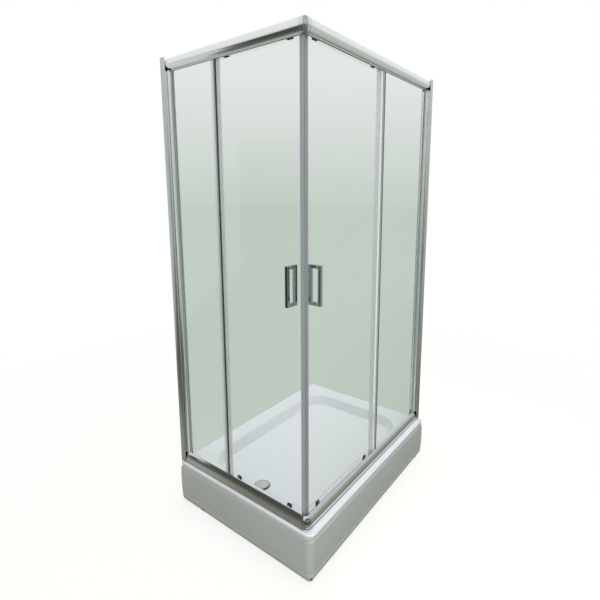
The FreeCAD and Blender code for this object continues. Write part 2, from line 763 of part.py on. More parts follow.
def make_bottom_rail(side):
    start = collar_end
    end = rail_end(side)
    s0 = start - past
    s1 = end + past
    first, steps = bottom_rail_outline(web_inner)
    upstand = guide_floor + bottom_rail_upstand
    steps = steps + [(web_inner, guide_floor), (channel_inner, guide_floor), (channel_inner, upstand),
                     (rail_depth, upstand), (rail_depth, rim_top)]
    rail = extrusion(start, end, first, steps)
    chamber_start = (bottom_arc_start[0] + rail_wall, bottom_arc_start[1])
    chamber_middle = (bottom_arc_middle[0] + rail_wall, bottom_arc_middle[1] - rail_wall)
    chamber_end = (bottom_arc_end[0], bottom_rail_top - 2 * rail_wall)
    chamber = extrusion(s0, s1, chamber_start, [(chamber_middle, chamber_end), (web_outer, chamber_end[1]),
                                                (web_outer, chamber_start[1])])
    cuts = [
        chamber,
        block(s0, s1, slot_outer, slot_inner, slot_floor, bottom_rail_top + past),
        block(s0, s1, slot_inner - past, web_inner + past, slot_inner_top, bottom_rail_top + past),
        block(s0, s1, slot_outer, slot_inner, guide_floor, slot_floor - rail_wall),
        block(side["post"] - fit_gap, s1, -past, post_wall + post_crown + fit_gap,
              rim_top - past, bottom_rail_top + past),
        mitre(rim_top - past, bottom_rail_top + past),
    ]
    rail = fuse_all([cut_all(rail, cuts), track_rib(side, guide_floor, guide_rib_height)])
    return rail.cut(rail_screw(side, rail_screw_heights[0], rail_screw_length))


def make_top_connector():
    """A quarter turn of the half-round rail with three upright ridges, a collar and a tongue for each rail."""
    axis = point(corner_reach, corner_reach, 0)

    def turned(lift, first, sweep):
        start, steps = half_round(lift)
        face = outline(start, steps, lambda d, z: point(corner_reach, d, z))
        face.rotate(axis, up, -first)
        return face.revolve(axis, up, -sweep)

    pieces = [turned(0.0, 0, 90)]
    for first in ridge_angles:
        pieces.append(turned(collar_lift, first, ridge_sweep))
    collar_start, collar_steps = half_round(collar_lift)
    collar = extrusion(corner_reach, collar_end, collar_start, collar_steps)
    tongue = block(collar_end - past, collar_end + tongue_length, top_rail_face + top_tongue_inset,
                   web_outer - tongue_gap, half_round_middle - top_tongue_height / 2,
                   half_round_middle + top_tongue_height / 2)
    arm = [collar, tongue]
    plate = block(web_outer, collar_end, web_outer, collar_end, rail_top - corner_plate, rail_top)
    return fuse_all(pieces + arm + [across_corner(piece) for piece in arm] + [plate])


def across_corner(shape):
    """The same shape on the other side of the corner's diagonal."""
    return shape.mirror(point(0, 0, 0), point(1, -1, 0))


def make_bottom_connector():
    """A quarter turn of the bottom rail's outside, a collar and a tongue for each rail."""
    axis = point(corner_reach, corner_reach, 0)
    first, steps = bottom_rail_outline(slot_outer)
    steps = steps + [(slot_outer, rim_top)]
    face = outline(first, steps, lambda d, z: point(corner_reach, d, z))
    turned = face.revolve(axis, up, -90)
    collar = extrusion(corner_reach, collar_end, first, steps)
    tongue_back = web_outer - tongue_gap
    tongue = block(collar_end - past, collar_end + tongue_length, tongue_back - bottom_tongue_thickness,
                   tongue_back, rim_top + bottom_tongue_inset, bottom_rail_top - bottom_tongue_drop)
    arm = [collar, tongue]
    floor = block(web_outer, collar_end, web_outer, collar_end, rim_top, guide_floor)
    return fuse_all([turned, floor] + arm + [across_corner(piece) for piece in arm])


# ---------------------------------------------------------------- wall profiles and fixed glass
rail_screw_heights = (rim_top + rail_screw_rise, rail_top - rail_screw_drop)
profile_middle = (rim_top + frame_top) / 2
profile_screw_heights = tuple(profile_middle + step * profile_screw_spacing for step in (-1, 0, 1))
frame_screw_heights = rail_screw_heights + profile_screw_heights


def rail_screw(side, z, depth):
    """A screw's shank through the wall profile's inner flange, depth mm into what lies behind it."""
    return pin(side["post"] + post_width / 2, z, rail_depth - depth, post_depth, screw_radius)


def frame_screws_of(side):
    """Shanks and heads that hold the rails and the adjusting profile to the wall profile."""
    middle = side["post"] + post_width / 2
    screws = []
    for z in frame_screw_heights:
        shank = rail_screw(side, z, rail_screw_length)
        head = pin(middle, z, post_depth, post_depth + screw_head_height, screw_head_radius)
        screws.append(fuse_all([shank, head]))
    return screws


def make_wall_profile(side):
    """A channel against the wall, open towards the glass, with a slightly crowned outer face."""
    near = side["post"]
    far = side["length"]
    middle = (near + far) / 2
    outer = upright(rim_top, frame_top, (near, post_crown), [((middle, 0), (far, post_crown)),
                                                             (far, post_depth), (near, post_depth)])
    mouth = near - past
    back = far - post_wall
    hollow = upright(rim_top - past, frame_top + past, (mouth, post_wall + post_crown),
                     [((middle, post_wall), (back, post_wall + post_crown)),
                      (back, post_depth - post_wall), (mouth, post_depth - post_wall)])
    holes = []
    for step in (-1, 0, 1):
        start = point(back - past, post_depth / 2, wall_hole_centre + step * wall_hole_spacing)
        holes.append(Part.makeCylinder(wall_hole_radius, post_wall + 2 * past, start, point(1, 0, 0)))
    shanks = [rail_screw(side, z, rail_screw_length) for z in frame_screw_heights]
    return cut_all(outer.cut(hollow), holes + shanks)


def make_inner_profile(side):
    """The adjusting profile: a hollow bar in the wall profile and a glazing slot in front of it."""
    front = side["profile"]
    bar_front = side["post"] + inner_profile_gap
    bar_back = side["length"] - post_wall - inner_profile_back_gap
    bar_outer = post_wall + post_crown + fit_gap
    slot_back = front + glass_engagement + glass_end_gap
    low = frame_low - past
    high = frame_high + past
    bar = block(bar_front, bar_back, bar_outer, rail_depth, frame_low, frame_high)
    inside = block(bar_front + rail_wall, bar_back - rail_wall, bar_outer + rail_wall, channel_inner, low, high)
    nose = block(front, bar_front + rail_wall, inner_profile_face, web_inner, frame_low, frame_high)
    chambers = [
        block(front - past, slot_back, slot_outer, slot_inner, low, high),
        block(front + rail_wall, bar_front, inner_profile_face + rail_wall, web_outer, low, high),
        block(slot_back + rail_wall, bar_front, slot_outer, slot_inner, low, high),
    ]
    shanks = [rail_screw(side, z, rail_screw_length) for z in profile_screw_heights]
    return cut_all(fuse_all([bar.cut(inside), cut_all(nose, chambers)]), shanks)


def make_fixed_glass(side):
    return block(side["opening"], side["profile"] + glass_engagement, fixed_outer, fixed_inner,
                 fixed_bottom, fixed_top)


def make_fixed_trim(side):
    """A dark strip over the fixed pane's free edge; the sliding door's fin brushes past it."""
    strip = block(side["opening"] - trim_nose, side["opening"] + trim_overlap, slot_outer, slot_inner,
                  frame_low, frame_high)
    return strip.cut(make_fixed_glass(side))


def make_glass_gasket(side):
    """Two dark strips that grip the glass in the adjusting profile, each with a bead outside the slot."""
    front = side["profile"]
    strips = []
    for glass_face, web, outwards in ((fixed_outer, slot_outer, -1), (fixed_inner, slot_inner, 1)):
        bead_face = web + outwards * gasket_bead_rise
        grip = block(front, front + glass_engagement, min(glass_face, web), max(glass_face, web),
                     frame_low, frame_high)
        bead = block(front - gasket_bead, front, min(glass_face, bead_face), max(glass_face, bead_face),
                     frame_low, frame_high)
        strips.append(fuse_all([grip, bead]))
    return strips


def make_rail_gaskets(side):
    """The clear strips that hold the fixed pane in the two rails."""
    start = side["opening"]
    end = side["profile"] + glass_engagement
    upper = block(start, end, slot_outer, slot_inner, rail_bottom, slot_ceiling)
    lower = block(start, end, slot_outer, slot_inner, slot_floor, slot_inner_top)
    return [upper.cut(make_fixed_glass(side)), lower.cut(make_fixed_glass(side))]


# ---------------------------------------------------------------- door
def hardware_places(side):
    rear = side["door_end"] - hardware_trail
    return (bracket_lead, rear), (guide_lead, rear)


top_screw_height = door_top - clamp_top_grip / 2
guide_screw_height = door_bottom + clamp_bottom_grip / 2
handle_reach = handle_length / 2 - handle_bar / 2
handle_ends = (handle_centre - handle_reach, handle_centre + handle_reach)
seal_low = door_bottom - seal_tail


def make_door_glass(side):
    pane = block(door_lead, side["door_end"], door_outer, door_inner, door_bottom, door_top)
    tops, guides = hardware_places(side)
    holes = [(s, top_screw_height, clamp_screw_radius) for s in tops]
    holes += [(s, guide_screw_height, clamp_screw_radius) for s in guides]
    holes += [(handle_position, z, glass_hole_radius) for z in handle_ends]
    return cut_all(pane, [pin(s, z, clamp_outer, clamp_inner, radius) for s, z, radius in holes])


def clamp(s, width, edge, grip):
    """A saddle over the door glass, from the height of the glass edge over grip mm of the glass."""
    back = -clamp_back if grip > 0 else clamp_back
    z0 = min(edge + back, edge + grip)
    z1 = max(edge + back, edge + grip)
    body = block(s - width / 2, s + width / 2, clamp_outer, clamp_inner, z0, z1)
    body = body.makeFillet(clamp_edge_radius, edges_inwards(body))
    past_grip = past if grip > 0 else -past
    glass_end = edge + grip + past_grip
    low = min(edge, glass_end)
    high = max(edge, glass_end)
    return body.cut(block(s - width, s + width, door_outer, door_inner, low, high))


def edges_inwards(body):
    """The edges that run along d."""
    return [edge for edge in body.Edges if edge.BoundBox.XLength + edge.BoundBox.ZLength < same_height]


def clamp_screw(s, z):
    start = clamp_outer + clamp_head_sink
    head = pin(s, z, start, door_outer, clamp_head_radius)
    shank = pin(s, z, start, clamp_inner, clamp_screw_radius)
    return fuse_all([head, shank])


def wheel_arm(s, wheel_height, clamp_edge):
    """A flat neck from a clamp to its wheel, with a round eye and a spacer that sets the wheel's plane."""
    z0 = min(wheel_height, clamp_edge)
    z1 = max(wheel_height, clamp_edge)
    neck = block(s - neck_width / 2, s + neck_width / 2, neck_outer, neck_inner, z0, z1)
    eye = pin(s, wheel_height, neck_outer, neck_inner, neck_width / 2)
    spacer = pin(s, wheel_height, neck_inner, wheel_outer_face - wheel_track_gap, spacer_radius)
    return [neck, eye, spacer]


def make_top_brackets(side):
    brackets = []
    for s in hardware_places(side)[0]:
        saddle = clamp(s, bracket_width, door_top, -clamp_top_grip)
        bracket = fuse_all([saddle] + wheel_arm(s, top_wheel_height, door_top + clamp_back / 2))
        brackets.append(cut_all(bracket, [axle(s, top_wheel_height), clamp_screw(s, top_screw_height)]))
    return brackets


def make_guides(side):
    guides = []
    for s in hardware_places(side)[1]:
        saddle = clamp(s, guide_width, door_bottom, clamp_bottom_grip)
        guide = fuse_all([saddle] + wheel_arm(s, guide_wheel_height, door_bottom - clamp_back / 2))
        guides.append(cut_all(guide, [axle(s, guide_wheel_height), clamp_screw(s, guide_screw_height)]))
    return guides


def axle(s, z):
    end = wheel_inner_face + wheel_track_gap
    bar = pin(s, z, neck_outer, end, axle_radius)
    head = pin(s, z, end, end + axle_head_height, axle_radius + axle_head_rim)
    return fuse_all([bar, head])


def make_axles(side):
    tops, guides = hardware_places(side)
    return [axle(s, top_wheel_height) for s in tops] + [axle(s, guide_wheel_height) for s in guides]


def make_clamp_screws(side):
    tops, guides = hardware_places(side)
    screws = [clamp_screw(s, top_screw_height) for s in tops]
    return screws + [clamp_screw(s, guide_screw_height) for s in guides]


def make_wheel(s, z):
    """A grooved wheel that straddles the rail's track rib."""
    groove_half = track_rib_width / 2 + wheel_groove_clearance
    bore = axle_radius + running_clearance
    half = wheel_width / 2
    shoulder = half - wheel_edge
    side_radius = wheel_radius - wheel_edge
    groove_edge = groove_half + wheel_edge
    start = (bore, -half)
    steps = [(side_radius, -half), (wheel_radius, -shoulder), (wheel_radius, -groove_edge),
             (wheel_groove_radius, -groove_half), (wheel_groove_radius, groove_half),
             (wheel_radius, groove_edge), (wheel_radius, shoulder), (side_radius, half), (bore, half)]
    face = outline(start, steps, lambda r, d: point(s + r, wheel_plane + d, z))
    return face.revolve(point(s, wheel_plane, z), point(0, 1, 0), 360)


def make_magnet_seal(side):
    """A clip on the leading edge of the glass with a nose cut on the corner's diagonal."""
    gap = magnet_gap * 2 ** -0.5
    clip_end = door_lead + magnet_clip
    body = upright(seal_low, door_top, (clip_end, seal_outer),
                   [(seal_outer + gap, seal_outer), (seal_inner + gap, seal_inner), (clip_end, seal_inner)])
    return body.cut(glass_slot(door_lead, clip_end + past))


def glass_slot(s0, s1):
    """The room that a seal leaves for the door glass, over the seal's whole height."""
    return block(s0, s1, door_outer, door_inner, seal_low - past, door_top + past)


def make_trailing_seal(side):
    """A clear clip on the trailing edge with a fin that leans towards the fixed pane."""
    end = side["door_end"]
    rear = hardware_places(side)[0][1] + bracket_width / 2
    clip_start = max(end - seal_clip, rear + seal_clip_gap)
    root = end + seal_wall
    tip = end + seal_fin
    tip_outer = seal_outer - seal_fin_lean
    steps = [(root, seal_outer), (tip, tip_outer), (tip, tip_outer + seal_fin_thickness),
             (root, seal_outer + seal_wall), (root, seal_inner), (clip_start, seal_inner)]
    body = upright(seal_low, door_top, (clip_start, seal_outer), steps)
    return body.cut(glass_slot(clip_start - past, end))


def handle(glass_face, outwards):
    """A square-bar pull: an upright grip on two posts, with bores for the through bolts."""
    far = glass_face + outwards * handle_standoff
    near = far - outwards * handle_bar
    inside = near + outwards * handle_edge_radius
    half = handle_bar / 2
    s0 = handle_position - half
    s1 = handle_position + half
    grip = block(s0, s1, min(near, far), max(near, far), handle_ends[0] - half, handle_ends[1] + half)
    pieces = [grip.makeFillet(handle_edge_radius, grip.Edges)]
    for z in handle_ends:
        post = block(s0, s1, min(glass_face, inside), max(glass_face, inside), z - half, z + half)
        pieces.append(post.makeFillet(handle_edge_radius, edges_inwards(post)))
    return fuse_all(pieces).cut(Part.makeCompound(handle_bolts()))


def handle_bolts():
    start = door_outer - handle_bolt_grip
    end = door_inner + handle_bolt_grip
    return [pin(handle_position, z, start, end, handle_bolt_radius) for z in handle_ends]


def make_door_stops(side):
    """Rubber blocks in the roller channel, one for each end of the door's travel."""
    tops = hardware_places(side)[0]
    reach = max(neck_width / 2, wheel_radius) + stop_gap
    closed = tops[0] - reach - stop_length
    opened = tops[1] + side["travel"] + reach
    return [block(s, s + stop_length, web_inner, channel_inner, lip_top + track_rib_height,
                  rail_top - rail_wall) for s in (closed, opened)]


# ---------------------------------------------------------------- everything
def save_tray():
    """The tray and what is under it, in front of it and in its drain."""
    edge_x = tray_width / 2
    edge_y = -tray_length / 2
    diagonal = FreeCAD.Rotation(up, -corner_screw_angle).multVec(point(1, 0, 0))
    centre = point(edge_x - tray_corner_radius, edge_y + tray_corner_radius, 0)
    corner = centre + diagonal * (tray_corner_radius - apron_skirt_inset)
    screws = [
        apron_screw(corner.x, corner.y, diagonal),
        apron_screw(edge_x - apron_skirt_inset, cross_offset, point(1, 0, 0)),
        apron_screw(-rail_offset, edge_y + apron_skirt_inset, point(0, -1, 0)),
    ]
    rods, pads, nuts = make_feet()
    save("tray", make_tray())
    save("apron", cut_all(make_apron(), screws))
    save("support_frame", make_support_frame())
    save("foot_rods", rods)
    save("foot_pads", pads)
    save("foot_nuts", nuts)
    save("apron_brackets", [cut_all(bracket, screws) for bracket in make_apron_brackets()])
    save("apron_screws", screws)
    save("drain_flange", make_drain_flange())
    save("drain_gasket", ring(trap_radius, drain_neck_radius, trap_top, basin_underside))
    save("drain_trap", make_drain_trap())
    save("drain_cover", make_drain_cover())


def save_frame():
    """The connectors, and for each side its profiles, rails and fixed pane."""
    save("top_corner_connector", place(make_top_connector(), "side"))
    save("bottom_corner_connector", place(make_bottom_connector(), "side"))
    screws = []
    stops = []
    for name, side in sides.items():
        bottom_rail = make_bottom_rail(side)
        if name == "front":
            bottom_rail = bottom_rail.cut(weep_slot(side))
        save(name + "_wall_profile", place(make_wall_profile(side), name))
        save(name + "_inner_profile", place(make_inner_profile(side), name))
        save(name + "_top_rail", place(make_top_rail(side), name))
        save(name + "_bottom_rail", place(bottom_rail, name))
        save(name + "_fixed_glass", place(make_fixed_glass(side), name))
        save(name + "_fixed_trim", place(make_fixed_trim(side), name))
        save(name + "_glass_gasket", place_all(make_glass_gasket(side), name))
        save(name + "_rail_gaskets", place_all(make_rail_gaskets(side), name))
        screws += place_all(frame_screws_of(side), name)
        stops += place_all(make_door_stops(side), name)
    save("frame_screws", screws)
    save("door_stops", stops)


def save_door(name, side):
    """One sliding door with its seals, clamps, handles and wheels."""
    door = name + "_door_"
    save(door + "glass", place(make_door_glass(side), name))
    save(door + "magnet_seal", place(make_magnet_seal(side), name))
    save(door + "trailing_seal", place(make_trailing_seal(side), name))
    save(door + "top_brackets", place_all(make_top_brackets(side), name))
    save(door + "bottom_guides", place_all(make_guides(side), name))
    save(door + "axles", place_all(make_axles(side), name))
    save(door + "clamp_screws", place_all(make_clamp_screws(side), name))
    save(door + "outer_handle", place(handle(door_outer, -1), name))
    save(door + "inner_handle", place(handle(door_inner, 1), name))
    save(door + "handle_bolts", place_all(handle_bolts(), name))
    tops, guides = hardware_places(side)
    for end, s_top, s_guide in (("lead", tops[0], guides[0]), ("trail", tops[1], guides[1])):
        save(name + "_" + end + "_top_wheel", place(make_wheel(s_top, top_wheel_height), name))
        save(name + "_" + end + "_guide_wheel", place(make_wheel(s_guide, guide_wheel_height), name))


save_tray()
save_frame()
for name, side in sides.items():
    save_door(name, side)
print("travel", {name: side["travel"] for name, side in sides.items()})
print("wheel heights", top_wheel_height, guide_wheel_height, "door glass", door_bottom, door_top)
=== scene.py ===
# %% [markdown]
# # A corner shower enclosure with sliding doors
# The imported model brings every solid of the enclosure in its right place: tray, apron, rails, profiles,
# panes, seals, brackets, wheels and drain. This lesson dresses it. It sets up a small photo studio, gives every
# solid a finish made of shader nodes, swaps the sharp-edged solids for copies with rounded edges, and adds the
# small mouldings that only the look needs: ribs and a boss on the corner castings and caps on the lower guides.
# Everything is in metres, +Z is up, the short glazed side faces -Y and the long one faces +X.

# %% Load the enclosure
import json
import math

import bmesh
import bpy
from mathutils import Matrix, Vector
from mathutils.bvhtree import BVHTree


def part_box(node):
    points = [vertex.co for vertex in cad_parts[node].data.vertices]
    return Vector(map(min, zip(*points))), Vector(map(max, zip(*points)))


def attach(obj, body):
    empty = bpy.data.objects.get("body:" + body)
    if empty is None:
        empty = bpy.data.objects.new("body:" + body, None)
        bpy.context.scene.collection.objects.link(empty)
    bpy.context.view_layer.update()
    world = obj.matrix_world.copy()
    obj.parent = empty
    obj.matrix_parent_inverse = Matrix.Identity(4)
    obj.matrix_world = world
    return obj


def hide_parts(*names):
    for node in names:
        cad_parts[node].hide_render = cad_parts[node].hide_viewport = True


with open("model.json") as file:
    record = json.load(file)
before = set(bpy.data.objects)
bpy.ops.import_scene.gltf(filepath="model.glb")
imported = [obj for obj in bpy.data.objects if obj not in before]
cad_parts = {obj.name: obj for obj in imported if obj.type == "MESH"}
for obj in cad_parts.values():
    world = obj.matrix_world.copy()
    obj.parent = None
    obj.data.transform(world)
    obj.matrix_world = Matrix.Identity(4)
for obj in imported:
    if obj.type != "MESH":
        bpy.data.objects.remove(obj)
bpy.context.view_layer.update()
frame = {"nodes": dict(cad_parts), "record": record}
nodes = frame["nodes"]
body_of_node = {node: body for body, group in frame["record"]["behaviour"]["bodies"].items() for node in group}
slot_of_node = {part["node"]: part["material_slot"] for part in frame["record"]["subparts"]}

# %% [markdown]
# ## Places that the rest is measured from
# The rim of the tray and the outer faces of the two glazed sides are read from the solids. The two faces meet at
# the door corner. The height of the camera, the tones of the floor and the added pieces are measured from them.

# %% Key places
rim_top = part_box("tray")[1].z
front_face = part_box("front_wall_profile")[0].y
side_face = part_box("side_wall_profile")[1].x
print("rim", round(rim_top, 3), "door corner", round(side_face, 3), round(front_face, 3))

# %% [markdown]
# ## The camera
# A catalogue picture of a tall object is often taken with a wide lens from close by, which makes the near corner
# tower over the ends. The place is one that a person would stand in: eye height, 1.5 m from the door corner. The
# focal length is given in pixels of the picture, and the row of the optical axis becomes a small shift of the lens.

# %% Camera
camera_side = 1.254
camera_front = -1.716
camera_above_rim = 1.305
camera_turn = math.radians(37.67)
camera_tilt = math.radians(-9.56)
camera_roll = math.radians(-0.28)
focal_in_pixels = 428.8
picture_pixels = 600
optical_axis_row = 265
sensor_width = 36.0
view_reach = 100.0


def make_camera():
    """Builds the camera from the direction it looks in, then rolls it about that direction."""
    data = bpy.data.cameras.new("studio_camera")
    data.sensor_width = sensor_width
    data.lens = focal_in_pixels / picture_pixels * sensor_width
    data.shift_y = (optical_axis_row - picture_pixels / 2) / picture_pixels
    data.clip_end = view_reach
    camera = bpy.data.objects.new("studio_camera", data)
    bpy.context.scene.collection.objects.link(camera)
    forward = Vector((-math.sin(camera_turn) * math.cos(camera_tilt),
                      math.cos(camera_turn) * math.cos(camera_tilt), math.sin(camera_tilt)))
    right = Vector((math.cos(camera_turn), math.sin(camera_turn), 0.0))
    right.rotate(Matrix.Rotation(-camera_roll, 3, forward))
    above = right.cross(forward)
    turn = Matrix((right, above, -forward)).transposed()
    place = Vector((camera_side, camera_front, rim_top + camera_above_rim))
    camera.matrix_world = Matrix.Translation(place) @ turn.to_4x4()
    bpy.context.scene.camera = camera
    return camera


camera = make_camera()
print("lens", round(camera.data.lens, 2), "mm, shift", round(camera.data.shift_y, 3))

# %% [markdown]
# ## The studio
# White acrylic, glass and polished metal show their surroundings more than their own colour. So the studio has three
# faces, told apart by the kind of ray that meets it. The camera sees a white surround and a pale floor with a soft
# shadow. Through the panes it sees a pale green wall, which is how clear glass reads indoors. Polished metal sees a
# bright ceiling and a dim olive floor: a mirror-like rail needs something dark to reflect, or it looks like paper.
# Soft light comes from the whole surround and from three large lamps.
#
# The Standard view keeps colours as they are set. Shaders could be clicked together in the editor, but a script
# can be read and changed in one place, so every shader below is built with one helper, which adds a node and
# sets its plain settings. The place it takes is only where the node is drawn in the editor.

# %% Colour management and a helper for nodes
scene = bpy.context.scene
scene.view_settings.view_transform = "Standard"


def node_of(tree, kind, place, **values):
    """Adds a shader node and sets its plain settings."""
    node = tree.nodes.new(kind)
    node.location = place
    for name, value in values.items():
        setattr(node, name, value)
    return node


def background(tree, place, colour, strength):
    """One plain light of the surround."""
    node = node_of(tree, "ShaderNodeBackground", place)
    node.inputs["Color"].default_value = (*colour, 1.0)
    node.inputs["Strength"].default_value = strength
    return node


print("view", scene.view_settings.view_transform)

# %% [markdown]
# ## The surround
# Four lights stand behind one another: the soft light for everything, what metal mirrors, what is seen through the
# panes and the white that the camera sees. The kind of ray picks one. Two of them change with height: the
# mirrored one runs from a grey-green horizon up to a bright ceiling, the one behind the panes from green to pale.

# %% Surround
surround_light = 0.50
soft_white = (0.96, 0.98, 1.0)
ceiling_shine = (0.93, 0.95, 0.96)
horizon_shine = (0.58, 0.62, 0.58)
wall_high = (0.865, 0.862, 0.868)
wall_low = (0.60, 0.67, 0.61)
shine_heights = (0.0, 0.30)
wall_heights = (-0.06, 0.25)


def make_surround():
    """White to the camera, pale green behind the panes, a soft even light for everything else."""
    world = bpy.data.worlds.new("studio_surround")
    world.use_nodes = True
    tree = world.node_tree
    tree.nodes.clear()
    rays = node_of(tree, "ShaderNodeLightPath", (-700, 300))
    soft = background(tree, (-300, 100), soft_white, surround_light)
    shine = background(tree, (-300, -20), ceiling_shine, 1.0)
    wall = background(tree, (-300, -140), wall_low, 1.0)
    white = background(tree, (-300, -260), (1.0, 1.0, 1.0), 1.0)
    direction = node_of(tree, "ShaderNodeTexCoord", (-1100, -300))
    parts = node_of(tree, "ShaderNodeSeparateXYZ", (-900, -300))
    tree.links.new(direction.outputs["Generated"], parts.inputs["Vector"])
    for light, low, high, (start, end) in ((wall, wall_low, wall_high, wall_heights),
                                           (shine, horizon_shine, ceiling_shine, shine_heights)):
        height = node_of(tree, "ShaderNodeMapRange", (-700, -300))
        height.inputs["From Min"].default_value = start
        height.inputs["From Max"].default_value = end
        drift = node_of(tree, "ShaderNodeMix", (-500, -300), data_type="RGBA")
        drift.inputs["A"].default_value = (*low, 1.0)
        drift.inputs["B"].default_value = (*high, 1.0)
        tree.links.new(parts.outputs["Z"], height.inputs["Value"])
        tree.links.new(height.outputs["Result"], drift.inputs["Factor"])
        tree.links.new(drift.outputs["Result"], light.inputs["Color"])
    last = soft
    for kind, light, x in (("Is Glossy Ray", shine, -50), ("Is Transmission Ray", wall, 150),
                           ("Is Camera Ray", white, 350)):
        mix = node_of(tree, "ShaderNodeMixShader", (x, 100))
        tree.links.new(rays.outputs[kind], mix.inputs[0])
        tree.links.new(last.outputs[0], mix.inputs[1])
        tree.links.new(light.outputs[0], mix.inputs[2])
        last = mix
    out = node_of(tree, "ShaderNodeOutputWorld", (550, 100))
    tree.links.new(last.outputs[0], out.inputs[0])
    scene.world = world


make_surround()
print("surround light", surround_light)

# %% [markdown]
# ## A flat sheet
# The floor and the cards are flat sheets. A plane from the Add menu would be scaled as an object, and its shader
# would then read stretched coordinates. This one is scaled in its mesh, so its coordinates stay in metres.

# %% A flat sheet for floor and cards


def plain_sheet(name, width, depth, matrix):
    """A flat rectangle whose place is in its mesh."""
    mesh = bpy.data.meshes.new(name)
    bm = bmesh.new()
    bmesh.ops.create_grid(bm, x_segments=1, y_segments=1, size=0.5)
    bmesh.ops.scale(bm, vec=(width, depth, 1.0), verts=bm.verts)
    bmesh.ops.transform(bm, matrix=matrix, verts=bm.verts)
    bm.to_mesh(mesh)
    bm.free()
    sheet = bpy.data.objects.new(name, mesh)
    scene.collection.objects.link(sheet)
    return sheet


# %% [markdown]
# ## What metal sees of the floor
# Polished rails mirror the floor more than anything else. A plain floor would make both rails the same grey. A few
# tones that run into each other give them their character: brown-grey and lighter to the left close in front,
# olive and light on the left further out, and a grey-green that gets lighter along the long side. That is what
# gives the rails their dark streak on one side of the corner and their soft grey on the other.

# %% Tones of the floor in metal
olive_shine = (0.118, 0.125, 0.110)
near_front_shine = (0.240, 0.245, 0.195)
near_left_shine = (0.40, 0.42, 0.37)
near_side_shine = (0.215, 0.245, 0.205)
far_side_shine = (0.56, 0.59, 0.56)
left_shine = (0.66, 0.68, 0.66)
side_run = 2.4
near_left_from, near_left_to = -0.80, -0.25
far_left_from, far_left_to = -1.50, -1.05
far_left_slant = -0.69
far_from, far_to = 0.2, 1.1
corner_blend = 0.5


def floor_tone(tree, place, weights, start, end, below, above):
    """A tone that runs from one colour to another across the floor, in the direction of the weights."""
    along = node_of(tree, "ShaderNodeVectorMath", (-900, -400), operation="DOT_PRODUCT")
    along.inputs[1].default_value = (*weights, 0.0)
    ramp = node_of(tree, "ShaderNodeMapRange", (-700, -400), interpolation_type="SMOOTHSTEP")
    ramp.inputs["From Min"].default_value = start
    ramp.inputs["From Max"].default_value = end
    mix = node_of(tree, "ShaderNodeMix", (-500, -400), data_type="RGBA")
    for socket, tone in (("A", below), ("B", above)):
        if isinstance(tone, tuple):
            mix.inputs[socket].default_value = (*tone, 1.0)
        else:
            tree.links.new(tone, mix.inputs[socket])
    tree.links.new(place, along.inputs[0])
    tree.links.new(along.outputs["Value"], ramp.inputs["Value"])
    tree.links.new(ramp.outputs["Result"], mix.inputs["Factor"])
    return mix.outputs["Result"]


def mirrored_floor(tree, place):
    """The tones of the front, the left and the long side, run into one another."""
    side_tone = floor_tone(tree, place, (1.0, 0.0), side_face, side_face + side_run, near_side_shine, far_side_shine)
    near_tone = floor_tone(tree, place, (1.0, 0.0), near_left_from, near_left_to, near_left_shine, near_front_shine)
    far_tone = floor_tone(tree, place, (1.0, far_left_slant), far_left_from, far_left_to, left_shine, olive_shine)
    front_tone = floor_tone(tree, place, (0.0, -1.0), far_from - front_face, far_to - front_face, near_tone, far_tone)
    corner = side_face + front_face
    return floor_tone(tree, place, (1.0, 1.0), corner - corner_blend, corner + corner_blend, front_tone, side_tone)


print("floor in metal: from", olive_shine, "to", left_shine)

# %% [markdown]
# ## The floor
# The floor is a dim olive paint, so that the apron gets little light from below. For the camera a plain
# lift is added on top, which brings it up to white and leaves only the soft shadow. A white floor would be simpler,
# but it would throw so much light up that the apron loses its shade. Far from the enclosure the floor fades into
# the white of the surround, so no horizon shows. Behind the panes it is as green as the wall.

# %% Floor
floor_paint = (0.225, 0.230, 0.195)
floor_lift = 0.80
fade_from = 1.1
fade_to = 3.4
floor_size = 80.0


